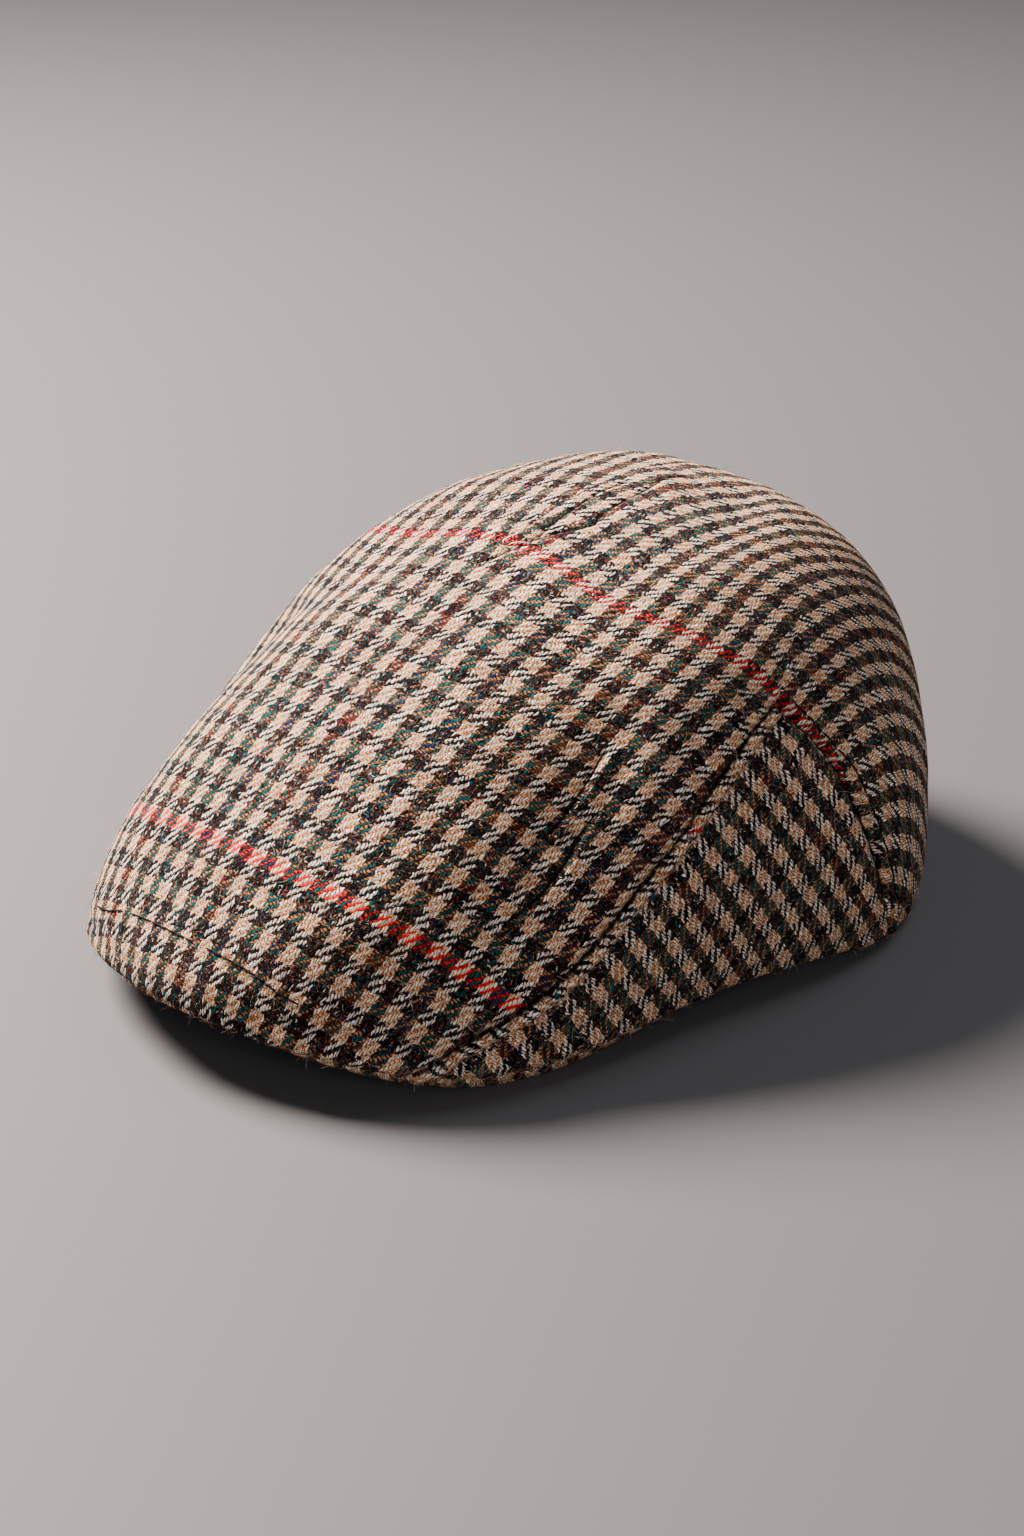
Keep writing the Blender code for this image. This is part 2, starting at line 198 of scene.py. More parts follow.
# Places on the cap are an angle round it, 0 at the front, and how far up the section they lie, 1 at the
# summit. The seam climbs from the tip at the peak's corner to the side panel's point, then falls to the hem.
Place = namedtuple("Place", "angle up")
FRONT_SEAM = (
    Place(42.0, 0.120), Place(47.5, 0.155), Place(52.5, 0.189), Place(57.0, 0.230),
    Place(62.0, 0.268), Place(67.3, 0.316), Place(72.0, 0.356), Place(76.0, 0.381),
)
BACK_SEAM = (
    Place(79.0, 0.340), Place(82.0, 0.292), Place(84.7, 0.240), Place(87.0, 0.182),
    Place(89.3, 0.124), Place(91.8, 0.062),
)

# The dart's two pressed lines, the rows of top stitches, and the creases, from above to below.
DART_LINES = (
    (Place(0, 0.745), Place(12.4, 0.80), Place(14.1, 0.845), Place(15.7, 0.88), Place(62.3, 0.965)),
    (Place(140, 0.89), Place(66.1, 0.915), Place(42.1, 0.875), Place(37.4, 0.85), Place(7.1, 0.78)),
)
BACK_STITCHES = (
    Place(79.0, 0.384), Place(81.5, 0.337), Place(84.5, 0.289), Place(87.5, 0.242), Place(89.7, 0.177),
    Place(91.7, 0.126), Place(94.2, 0.066), Place(96.6, 0.014),
)
PEAK_STITCHES = (
    Place(-24.6, 0.130), Place(-20.5, 0.138), Place(-16.2, 0.154), Place(-8.8, 0.169), Place(0, 0.175),
    Place(8.8, 0.169), Place(16.2, 0.154), Place(20.5, 0.138), Place(24.6, 0.130),
)
CREASE_LINES = (
    (Place(53.2, 0.470), Place(50.4, 0.430), Place(48.4, 0.405), Place(47.4, 0.395)),
    (Place(52.2, 0.385), Place(50.4, 0.365), Place(49.4, 0.340), Place(47.4, 0.315), Place(44.3, 0.290)),
)

# Soft dents along lines from one place to another. depth is in shares of the cloth's thickness, width in
# shares of the half width, and side is -1 or 1 for one side, 0 for both.
DENT_SPOTS = 24            # along a dent's line, which its distances are measured from
Dent = namedtuple("Dent", "angle_1 up_1 angle_2 up_2 depth width side")
DENTS = (
    Dent(44.0, 0.290, 53.5, 0.475, 1.30, 0.110, 0),
    Dent(55.0, 0.730, 125.0, 0.770, 0.90, 0.085, 1),
    Dent(16.0, 0.790, 165.0, 0.880, 0.35, 0.045, 1),
    Dent(150.0, 0.350, 165.0, 0.620, 0.60, 0.120, -1),
)


def column(table, name):
    return np.array([getattr(row, name) for row in table], float)


def soft(distance, width):
    """Soft rise or fall across a line: 1 on the line, fading out over the width."""
    return np.exp(-(distance / width) ** 2)


def eased(share):
    """Share from 0 to 1 that starts and ends softly."""
    share = np.clip(share, 0, 1)
    return share ** 2 * (3 - 2 * share)


def run_length(points):
    """Length of a line up to each of its points."""
    return np.concatenate([[0], np.cumsum(np.linalg.norm(np.diff(points, axis=0), axis=1))])


def spline(table, name, angle):
    """Value of a table's column at an angle: a cubic spline, level at both ends as both mirror."""
    knots = column(table, "angle")
    values = column(table, name)
    spans = np.diff(knots)
    rises = np.diff(values) / spans
    matrix = np.eye(len(knots))
    target = np.zeros(len(knots))
    for i in range(1, len(knots) - 1):
        matrix[i, i - 1] = spans[i]
        matrix[i, i] = 2 * (spans[i - 1] + spans[i])
        matrix[i, i + 1] = spans[i - 1]
        target[i] = 3 * (spans[i] * rises[i - 1] + spans[i - 1] * rises[i])
    slopes = np.linalg.solve(matrix, target)
    at = np.clip(np.abs(angle), knots[0], knots[-1])
    k = np.clip(np.searchsorted(knots, at, side="right") - 1, 0, len(knots) - 2)
    s = (at - knots[k]) / spans[k]
    curve = values[k] * (1 + 2 * s) * (1 - s) ** 2 + values[k + 1] * s * s * (3 - 2 * s)
    return curve + spans[k] * (slopes[k] * s * (1 - s) ** 2 - slopes[k + 1] * s * s * (1 - s))


def flat_place(angle, up):
    """Place on the flat disc that stands for the cap: the rim is the hem, the middle the summit."""
    turn = np.radians(angle)
    return np.stack([(1 - up) * np.sin(turn), -(1 - up) * np.cos(turn)], -1)


def hem_height(angle):
    lift = PEAK_LIFT * spline(SECTIONS, "peak", angle) + SIDE_LIFT * spline(SECTIONS, "side", angle)
    return np.maximum(lift, 0)


def smooth_surface(place):
    """Cap surface without its dents, from places on the disc."""
    radius = np.hypot(place[..., 0], place[..., 1])
    angle = np.degrees(np.arctan2(place[..., 0], -place[..., 1]))
    up = 1 - radius
    turn = np.radians(angle)
    share = spline(SECTIONS, "reach", angle)
    depth = BACK_REACH + (FRONT_REACH - BACK_REACH) * (1 + np.cos(turn)) / 2
    across = share * HALF_WIDTH * np.sin(turn)
    along = -share * depth * np.cos(turn)
    low = hem_height(angle)
    lean = 1 - spline(SECTIONS, "lean", angle)
    rise = CROWN_HEIGHT * spline(SECTIONS, "rise", angle)
    shoulder = spline(SECTIONS, "shoulder", angle)
    w0 = (1 - up) ** 3
    w1 = 3 * (1 - up) ** 2 * up
    w2 = 3 * (1 - up) * up * up
    out = w0 + w1 * lean + w2 * shoulder
    tall = w0 * low + w1 * rise + (w2 + up ** 3) * CROWN_HEIGHT
    curl = EDGE_CURL * np.clip(1 - (tall - low) / EDGE_CURL_HEIGHT, 0, 1) ** 2
    out = out - curl / np.hypot(across, along)
    return np.stack([out * across, out * along, tall], -1)


def tangents(surface, place, step=0.0005):
    """How far a surface moves for each unit across and along the disc."""
    return [(surface(place + way) - surface(place - way)) / (2 * step)
            for way in (np.array([step, 0]), np.array([0, step]))]


def normals(surface, place):
    """Outward normals of a surface over the disc."""
    normal = np.cross(*tangents(surface, place))
    return normal / np.linalg.norm(normal, axis=-1, keepdims=True)


def cap_surface(place):
    """Outer surface of the cap with its soft dents, from places on the disc."""
    points = smooth_surface(place)
    total = np.zeros(points.shape[:-1])
    for dent in DENTS:
        angles = np.linspace(dent.angle_1, dent.angle_2, DENT_SPOTS)
        ups = np.linspace(dent.up_1, dent.up_2, DENT_SPOTS)
        for side in (-1, 1):
            if dent.side == -side:
                continue
            near = np.full(points.shape[:-1], np.inf)
            for spot in smooth_surface(flat_place(side * angles, ups)):
                near = np.minimum(near, np.linalg.norm(points - spot, axis=-1))
            total += dent.depth * CLOTH * soft(near, dent.width * HALF_WIDTH)
    return points - normals(smooth_surface, place) * total[..., None]


def shifted(curve, distance):
    """Curve on the disc moved sideways so that it moves by a distance on the cap."""
    moved = []
    for t, ex, ey in zip(np.gradient(curve, axis=0), *tangents(smooth_surface, curve)):
        forward = ex * t[0] + ey * t[1]
        sideways = np.cross(np.cross(ex, ey), forward)
        sideways /= np.linalg.norm(sideways)
        moved.append(np.linalg.lstsq(np.stack([ex, ey], 1), sideways * distance, rcond=None)[0])
    return curve + np.array(moved)


def climb(angle):
    """How fast a section climbs at the hem."""
    return 3 * (CROWN_HEIGHT * spline(SECTIONS, "rise", angle) - hem_height(angle))


def panel_edge_up(angle):
    """How far up its section the panels' bottom edge lies."""
    share = np.interp(np.abs(angle), column(PANEL_EDGES, "angle"), column(PANEL_EDGES, "height"))
    return STRIP_HEIGHT * share / climb(angle)


def edge_curve(angles):
    """Panels' bottom edge on the disc."""
    return flat_place(angles, panel_edge_up(angles))


def resample(curve, shares):
    """Same curve on the disc with points at shares of its length on the cap."""
    length = run_length(smooth_surface(curve))
    at = shares * length[-1]
    return np.stack([np.interp(at, length, curve[:, 0]), np.interp(at, length, curve[:, 1])], -1)


def rounded(corners, steps=40):
    """Dense curve through a few places on the disc, bending smoothly between them."""
    corners = np.asarray(corners)
    ends = np.concatenate([[2 * corners[0] - corners[1]], corners, [2 * corners[-1] - corners[-2]]])
    dense = []
    for k in range(1, len(ends) - 2):
        p0, p1, p2, p3 = ends[k - 1:k + 3]
        s = np.linspace(0, 1, steps, endpoint=False)[:, None]
        dense.append(0.5 * (2 * p1 + (p2 - p0) * s + (2 * p0 - 5 * p1 + 4 * p2 - p3) * s * s
                            + (3 * p1 - p0 - 3 * p2 + p3) * s ** 3))
    dense.append(corners[-1:])
    return np.concatenate(dense)


def on_disc(places, side=1):
    """Smooth curve on the disc through named places."""
    return rounded(flat_place(side * column(places, "angle"), column(places, "up")))


def seam(distance, front_steps, back_steps):
    """Seam from the tip at the peak's corner up to the side panel's point and down to the hem."""
    tip = edge_curve(np.array([TIP_ANGLE]))
    rise = flat_place(column(FRONT_SEAM, "angle"), column(FRONT_SEAM, "up"))
    fall = flat_place(column(BACK_SEAM, "angle"), column(BACK_SEAM, "up"))
    hem = edge_curve(np.array([HEM_ANGLE]))
    front = resample(rounded(np.concatenate([tip, rise])), np.linspace(0, 1, front_steps + 1))
    back = resample(rounded(np.concatenate([rise[-1:], fall, hem])), np.linspace(0, 1, back_steps + 1))
    moved = shifted(np.concatenate([front, back[1:]]), distance)
    moved[-1] = moved[-1] / np.linalg.norm(moved[-1])
    return moved


def patch(left, right, bottom, top, v, u, fade=1):
    """Grid on the disc between four curves: rows run from left to right, bottom to top."""
    v = v[:, None, None]
    u = u[None, :, None]
    bottom_bend = bottom - ((1 - u) * bottom[0] + u * bottom[-1])
    top_bend = top - ((1 - u) * top[0] + u * top[-1])
    across = (1 - u) * left[:, None] + u * right[:, None]
    return across + (1 - v) ** fade * bottom_bend + v ** fade * top_bend


def dense(line, step=0.00015):
    """Line with its points close together."""
    count = int(np.linalg.norm(np.diff(line, axis=0), axis=1).sum() / step) + 2
    at = np.linspace(0, len(line) - 1, count)
    return np.stack([np.interp(at, np.arange(len(line)), line[:, k]) for k in range(3)], -1)


def nearest(points, spots):
    """Number of the nearest spot to each point, and how far off it is."""
    tree = KDTree(len(spots))
    for k, spot in enumerate(spots):
        tree.insert(spot, k)
    tree.balance()
    found = [tree.find(point)[1:] for point in points.reshape(-1, 3)]
    return [np.array([row[k] for row in found]).reshape(points.shape[:-1]) for k in (0, 1)]


def distances(points, lines):
    """Shortest distance from each point to a set of lines, and the place along the lines."""
    spots = np.concatenate([dense(line) for line in lines])
    number, near = nearest(points, spots)
    return near, run_length(spots)[number]


def from_lines(points, out, lines):
    """How far across the nearest line each point lies, negative on one side, and how far past its end."""
    place = np.full((*points.shape[:-1], 2), np.inf)
    for line in lines:
        spots = dense(line)
        forward = np.gradient(spots, axis=0)
        forward /= np.linalg.norm(forward, axis=1, keepdims=True)
        number, _ = nearest(points, spots)
        gap = points - spots[number]
        beyond = (gap * forward[number]).sum(-1)
        across = (gap * np.cross(out, forward[number])).sum(-1)
        here = np.stack([across, beyond], -1)
        closer = np.hypot(across, beyond) < np.hypot(place[..., 0], place[..., 1])
        place = np.where(closer[..., None], here, place)
    return place


def flat_cloth(points, start, folded=0, rounds=4000, every=6, easing=0.12):
    """Lay a panel's grid of points flat, as it was cut, with its lengths kept as well as cloth can.

    It works on every sixth row and column. The first column of the rows below folded stays on the
    panel's middle line.
    """
    rows = np.unique(np.append(np.arange(0, points.shape[0], every), points.shape[0] - 1))
    columns = np.unique(np.append(np.arange(0, points.shape[1], every), points.shape[1] - 1))
    coarse = points[np.ix_(rows, columns)]
    flat = start[np.ix_(rows, columns)].copy()
    here, there, every_one = slice(None, -1), slice(1, None), slice(None)
    links = (
        ((every_one, here), (every_one, there)),
        ((here, every_one), (there, every_one)),
        ((here, here), (there, there)),
        ((here, there), (there, here)),
    )
    lengths = [np.linalg.norm(coarse[b] - coarse[a], axis=-1) for a, b in links]
    for _ in range(rounds):
        move = np.zeros_like(flat)
        for (a, b), length in zip(links, lengths):
            gap = flat[b] - flat[a]
            size = np.maximum(np.linalg.norm(gap, axis=-1), 1e-9)
            pull = gap * ((size - length) / size)[..., None]
            move[a] += pull
            move[b] -= pull
        flat += move * easing
        flat[rows < folded, 0, 0] = 0
    fine = np.stack([np.stack([np.interp(np.arange(points.shape[1]), columns, row[:, k]) for row in flat])
                     for k in (0, 1)], -1)
    return np.stack([np.stack([np.interp(np.arange(points.shape[0]), rows, fine[:, m, k])
                               for m in range(points.shape[1])], -1) for k in (0, 1)], -1)


def unevenness(points, size, seed):
    """Smooth random values from -1 to 1 over the cap, changing over about the given size."""
    spots = points.reshape(-1, 3) / size
    return np.array([noise.noise(Vector(spot) + Vector((seed, 0, 0))) for spot in spots]).reshape(
        points.shape[:-1])


# Layers of data on the tweed: where a spot lies on the flat cloth, how far it is from the seam and along it,
# and how far it is across and past the nearest pressed line.
CLOTH_LAYERS = ("cloth", "edge", "line")
FAR_OFF = (1.0, 0.0)       # where there is no seam or line, as on the inner face


def cloth_mesh(name, outer, inner, flat, edge, line, material, coarse=3, same=0.000001):
    """Panel with the cloth's thickness: a fine outer face, a coarser inner one and a rim between them.

    Corners that lie nearer to each other than same become one.
    """
    rows, columns = outer.shape[:2]
    mesh = bmesh.new()
    cloth_layer, edge_layer, line_layer = (mesh.loops.layers.uv.new(layer) for layer in CLOTH_LAYERS)
    front = [[mesh.verts.new(point) for point in row] for row in outer]
    pick_rows = sorted(set(range(0, rows, coarse)) | {rows - 1})
    pick_columns = sorted(set(range(0, columns, coarse)) | {columns - 1})
    back = {(i, j): mesh.verts.new(inner[i, j]) for i in pick_rows for j in pick_columns}
    place = {}
    for i in range(rows):
        for j in range(columns):
            place[front[i][j]] = (i, j)
    outside = set(place)
    for key, vertex in back.items():
        place[vertex] = key

    def face(corners):
        different = []
        for corner in corners:
            if all((corner.co - other.co).length > same for other in different):
                different.append(corner)
        if len(different) < 3:
            return
        made = mesh.faces.new(different)
        made.smooth = True
        for loop in made.loops:
            key = place[loop.vert]
            loop[cloth_layer].uv = flat[key]
            loop[edge_layer].uv = edge[key]
            loop[line_layer].uv = line[key] if loop.vert in outside else FAR_OFF

    for i in range(rows - 1):
        for j in range(columns - 1):
            face((front[i][j], front[i][j + 1], front[i + 1][j + 1], front[i + 1][j]))
    for i, i_next in zip(pick_rows, pick_rows[1:]):
        for j, j_next in zip(pick_columns, pick_columns[1:]):
            face((back[i, j], back[i_next, j], back[i_next, j_next], back[i, j_next]))
    for j, j_next in zip(pick_columns, pick_columns[1:]):
        for i, turned in ((0, False), (rows - 1, True)):
            ring = [front[i][k] for k in range(j, j_next + 1)] + [back[i, j_next], back[i, j]]
            face(ring if turned else ring[::-1])
    for i, i_next in zip(pick_rows, pick_rows[1:]):
        for j, turned in ((0, True), (columns - 1, False)):
            ring = [front[k][j] for k in range(i, i_next + 1)] + [back[i_next, j], back[i, j]]
            face(ring if turned else ring[::-1])
    bmesh.ops.remove_doubles(mesh, verts=mesh.verts, dist=same)
    return mesh_object(name, mesh, material)


# Wool tweed: carded wool yarns 0.61 mm apart in the warp and 0.70 mm in the weft, woven as a 2/2 twill in
# groups of six light and six dark, which gives the small check. Light warp lies as cream dashes, light weft
# as peach ones, and the dark yarns are black-brown with teal, maroon and navy in them. Its raised fibres
# make it matt and soft.
WARP_PITCH = 0.00061       # across, from one warp yarn to the next
WEFT_PITCH = 0.00070
GROUP = 6                  # yarns in a light or dark group
RED_EVERY = 150            # weft yarns from one red line to the next
RED_YARNS = 5              # in each red line
YARN_HEIGHT = 0.00030      # how far a float stands above the gap beside it

# Two sets of yarns: the axes that they are counted and run along, the start of their floats, a float's half
# length and half width in yarns, and how much lower it lies, as a share of a float's height.
Yarns = namedtuple("Yarns", "count run start size depth")
WARP = Yarns(0, 1, 0.0, (1.50, 0.52), 0.0)
WEFT = Yarns(1, 0, 3.0, (1.45, 0.60), 0.30)

WANDER = (0.15, 3.0)       # noise scale to a yarn of the yarns' paths, and its whole range in yarns
SHAKE = (0.55, 2.0)        # the same for a finer grade
FIBRE_MARKS = (3.0, 0.9)   # marks of single fibres to a yarn, across it and along it
DYED_SHARE = (0.13, 0.62)  # share of dyed fibres in dark yarn, and what warp over light weft has more
MARK_TONE = (2.85, -3.4)   # tone where a fibre leaves no mark, and what a full mark adds
STRAY_SHARE = 0.14         # share of fibres of other yarns in the light ones
STRAY_COVER = 0.7          # and how much they hide
PATCH_SCALE = 0.07         # noise scale to a yarn of patches in the dye, the wear and the fuzz
PATCH_TONE = (0.86, 1.16)  # in the darkest and the palest patch
MORE_DYE = 0.8             # share of orange in the patches that took the most dye
FLOAT_TONE = (0.68, 0.5)   # tone of the darkest float, and what the lightest has more
CURL_SCALE = 0.30          # noise scale to a yarn of the curls of raised fibres
CURL_LINES = 14.0          # how closely they follow each other
CURL_WIDTH = (0.03, 0.17)  # in the smoothest and the fuzziest patch, as a share of their spacing
CURL_TONE = 0.36
CURL_COVER = 0.55          # share of the yarn's colour that they hide
LINE_SHADE = (0.0001, 0.0006)  # a pressed line's painted shade is full up to here and ends here
GROOVE = (0.0012, 2.2)     # half width of a pressed line's groove, and its depth in yarn heights
CREAM = "FFF2E6"           # bleached warp, whitest where it crosses dark weft
WARM_CREAM = "FFE6CC"
PEACH = "F4C09A"           # the weft beside it
ORANGE = "E2935A"          # where the peach yarn took more dye
TAN = "B48462"             # the same weft between dark yarns
LIGHT_GAP_PAINTED_SHADE = "8A5030"     # painted shade, deep brown between light yarns
STRAY = "9C6A48"           # fibres of other yarns in the light ones
RED = "E81420"
CURL_COLOURS = ("E0A878", "8A8486")
Stop = namedtuple("Stop", "at colour")
DARK_FIBRES = (Stop(0.0, "040203"), Stop(0.50, "1A0D10"), Stop(0.68, "2E2638"), Stop(0.77, "5E2E2C"),
               Stop(0.85, "62142A"), Stop(0.885, "00585E"), Stop(0.92, "B4806A"), Stop(0.965, "EAD8CC"))
DYED_YARNS = (Stop(0.0, "00565A"), Stop(0.56, "5E1828"), Stop(0.64, "14264E"), Stop(0.74, "1C0F10"),
              Stop(0.80, "004A4E"), Stop(0.96, "6E3A24"))


def tweed(name, strip=0.0, red_at=0.0):
    """Tweed with its own place of the red weft lines. strip is the width of a turned edge at the seam."""
    material = bpy.data.materials.new(name)
    material.use_nodes = True
    tree = material.node_tree
    shader = tree.nodes["Principled BSDF"]
    cloth = add(tree, "UVMap", uv_map="cloth")
    edge = add(tree, "UVMap", uv_map="edge")
    from_seam = add(tree, "SeparateXYZ", {0: edge})
    if strip:
        on_strip = add(tree, "Math", {0: from_seam, 1: strip}, operation="LESS_THAN")
        cloth = add(tree, "Mix", {0: on_strip, 4: cloth, 5: edge}, 1, data_type="VECTOR")
    straight = add(tree, "VectorMath", {0: cloth, 1: (WARP_PITCH, WEFT_PITCH, 1)}, operation="DIVIDE")

    # Carded yarns wander by about half a yarn within a check, and shake a little from yarn to yarn.
    threads = straight
    for often, far in (WANDER, SHAKE):
        waver = add(tree, "TexNoise", {"Vector": straight, "Scale": often, "Detail": 2.0}, 1)
        waver = add(tree, "VectorMath", {0: waver, 1: (0.5, 0.5, 0.5)}, operation="SUBTRACT")
        waver = add(tree, "VectorMath", {0: waver, "Scale": far}, operation="SCALE")
        threads = add(tree, "VectorMath", {0: threads, 1: waver}, operation="ADD")

    place = add(tree, "SeparateXYZ", {0: threads}).node.outputs
    cell = add(tree, "VectorMath", {0: threads}, operation="FLOOR")
    count = add(tree, "SeparateXYZ", {0: cell}).node.outputs
    inside = add(tree, "VectorMath", {0: threads}, operation="FRACTION")
    inside = add(tree, "VectorMath", {0: inside, 1: (0.5, 0.5, 0)}, operation="SUBTRACT")
    inside = add(tree, "SeparateXYZ", {0: inside}).node.outputs

    # In a 2/2 twill each yarn floats over two others, one step further along on the next yarn. A float is
    # an oval ridge, and the warp stands proud of the weft.
    lows, runs = [], []
    for yarns in (WARP, WEFT):
        at = add(tree, "Math", {0: place[yarns.run], 1: count[yarns.count]}, operation="SUBTRACT")
        at = add(tree, "Math", {0: at, 1: yarns.start}, operation="SUBTRACT")
        along = add(tree, "Math", {0: at, 1: 2.0, 2: -2.0}, operation="WRAP")
        run = add(tree, "Math", {0: at, 1: along}, operation="SUBTRACT")
        oval = add(tree, "CombineXYZ", {0: along, 1: inside[yarns.count]})
        oval = add(tree, "VectorMath", {0: oval, 1: (*yarns.size, 1)}, operation="DIVIDE")
        low = add(tree, "VectorMath", {0: oval, 1: oval}, 1, operation="DOT_PRODUCT")
        lows.append(add(tree, "Math", {0: low, 1: yarns.depth}, operation="ADD"))
        spot = {yarns.count: count[yarns.count], yarns.run: run, 2: yarns.count + 0.5}
        runs.append(add(tree, "CombineXYZ", spot))
    lowest = add(tree, "Math", {0: lows[0], 1: lows[1]}, operation="MINIMUM")
    height = add(tree, "Math", {0: 1.0, 1: lowest}, operation="SUBTRACT", use_clamp=True)
    warp_up = add(tree, "Math", {0: lows[0], 1: lows[1]}, operation="LESS_THAN")

    # Fibres lie along their yarn. Noise gives their marks, and cells pick their colours.
    warp_grain, weft_grain = (add(tree, "VectorMath", {0: threads, 1: (*marks, 0)}, operation="MULTIPLY")
                              for marks in (FIBRE_MARKS, FIBRE_MARKS[::-1]))
    grain = add(tree, "Mix", {0: warp_up, 4: weft_grain, 5: warp_grain}, 1, data_type="VECTOR")
    fibres = add(tree, "TexNoise", {"Vector": grain, "Scale": 1.0, "Detail": 2.0, "Roughness": 0.6})
    blend = add(tree, "TexVoronoi", {"Vector": grain, "Scale": 0.9}, 1, voronoi_dimensions="2D")
    blend = add(tree, "SeparateXYZ", {0: blend}).node.outputs

    # Light and dark groups, in the warp and in the weft.
    groups = add(tree, "VectorMath", {0: cell, 1: (GROUP, GROUP, 1)}, operation="DIVIDE")
    groups = add(tree, "VectorMath", {0: groups}, operation="FLOOR")
    parity = add(tree, "VectorMath", {0: groups, 1: (0.5, 0.5, 1)}, operation="MULTIPLY")
    parity = add(tree, "VectorMath", {0: parity}, operation="FRACTION")
    parity = add(tree, "SeparateXYZ", {0: parity}).node.outputs
    warp_dark, weft_dark = (add(tree, "Math", {0: half, 1: 0.25}, operation="GREATER_THAN")
                            for half in parity[:2])
    is_dark = add(tree, "Mix", {0: warp_up, 2: weft_dark, 3: warp_dark}, data_type="FLOAT")
    some_dark = add(tree, "Math", {0: warp_dark, 1: weft_dark}, operation="MAXIMUM")
    of_warp, of_weft = (add(tree, "VectorMath", {0: groups, 1: way}, operation="MULTIPLY")
                        for way in ((1, 0, 0), (0, 1, 0)))
    family = add(tree, "Mix", {0: warp_up, 4: of_weft, 5: of_warp}, 1, data_type="VECTOR")
    family = add(tree, "TexWhiteNoise", {"Vector": family})

    # Carded dark yarn is black-brown with tan, teal and maroon fibres in it. One dyed colour comes through
    # in each dark warp group where it crosses the light weft, and a little elsewhere.
    mixtures = []
    for stops, value in ((DARK_FIBRES, blend[0]), (DYED_YARNS, family)):
        ramp = add(tree, "ValToRGB", {0: value})
        elements = ramp.node.color_ramp.elements
        ramp.node.color_ramp.interpolation = "CONSTANT"
        while len(elements) < len(stops):
            elements.new(0.5)
        for element, stop in zip(elements, stops):
            element.position = stop.at
            element.color = linear(stop.colour)
        mixtures.append(ramp)
    share = add(tree, "Math", {0: warp_up, 1: weft_dark}, operation="SUBTRACT", use_clamp=True)
    share = add(tree, "Math", {0: share, 1: DYED_SHARE[1], 2: DYED_SHARE[0]}, operation="MULTIPLY_ADD")
    dyed = add(tree, "Math", {0: blend[1], 1: share}, operation="LESS_THAN")
    dark = add(tree, "Mix", {0: dyed, 6: mixtures[0], 7: mixtures[1]}, 2, data_type="RGBA")

    # Light yarn: bleached wool in the warp. The weft looks peach beside it, with patches that took more
    # dye, and tan between dark yarns. Painted shade makes it deep brown low between the floats.
    patches = add(tree, "TexNoise", {"Vector": threads, "Scale": PATCH_SCALE, "Detail": 2.0}, 1)
    patches = add(tree, "SeparateXYZ", {0: patches}).node.outputs
    warm = add(tree, "MapRange", {0: patches[0], 1: 0.42, 2: 0.66, 3: 0.0, 4: MORE_DYE})
    peach = add(tree, "Mix", {0: warm, 6: linear(PEACH), 7: linear(ORANGE)}, 2, data_type="RGBA")
    light = add(tree, "Mix", {0: warp_dark, 6: peach, 7: linear(TAN)}, 2, data_type="RGBA")
    bleached = add(tree, "Mix", {0: weft_dark, 6: linear(WARM_CREAM), 7: linear(CREAM)}, 2,
                   data_type="RGBA")
    light = add(tree, "Mix", {0: warp_up, 6: light, 7: bleached}, 2, data_type="RGBA")
    stray = add(tree, "Math", {0: blend[2], 1: 1 - STRAY_SHARE}, operation="GREATER_THAN")
    stray = add(tree, "Math", {0: stray, 1: STRAY_COVER}, operation="MULTIPLY")
    light = add(tree, "Mix", {0: stray, 6: light, 7: linear(STRAY)}, 2, data_type="RGBA")
    # Painted shade: low between the floats the light yarn turns deep brown.
    painted_deep_share = add(tree, "MapRange", {0: height, 1: 0.10, 2: 0.55, 3: 1.0, 4: 0.0})
    light = add(tree, "Mix", {0: painted_deep_share, 6: light, 7: linear(LIGHT_GAP_PAINTED_SHADE)}, 2, data_type="RGBA")
    colour = add(tree, "Mix", {0: is_dark, 6: light, 7: dark}, 2, data_type="RGBA")

    # The red weft lines show where the weft is on top.
    from_red = add(tree, "Math", {0: count[1], 1: round(red_at / WEFT_PITCH)}, operation="SUBTRACT")
    from_red = add(tree, "Math", {0: from_red, 1: float(RED_EVERY)}, operation="FLOORED_MODULO")
    is_red = add(tree, "Math", {0: from_red, 1: RED_YARNS - 0.5}, operation="LESS_THAN")
    is_red = add(tree, "Math", {0: is_red, 1: warp_up}, operation="SUBTRACT", use_clamp=True)
    colour = add(tree, "Mix", {0: is_red, 6: colour, 7: linear(RED)}, 2, data_type="RGBA")

    # Loose raised fibres curl over the weave, thicker in patches.
    curls = add(tree, "TexNoise", {"Vector": threads, "Scale": CURL_SCALE, "Detail": 2.0, "Distortion": 0.6})
    curls = add(tree, "Math", {0: curls, 1: CURL_LINES}, operation="MULTIPLY")
    curls = add(tree, "Math", {0: curls, 1: 1.0}, operation="PINGPONG")
    fuzzy = add(tree, "MapRange", {0: patches[2], 1: 0.38, 2: 0.66, 3: CURL_WIDTH[0], 4: CURL_WIDTH[1]})
    curls = add(tree, "Math", {0: curls, 1: fuzzy}, operation="LESS_THAN")
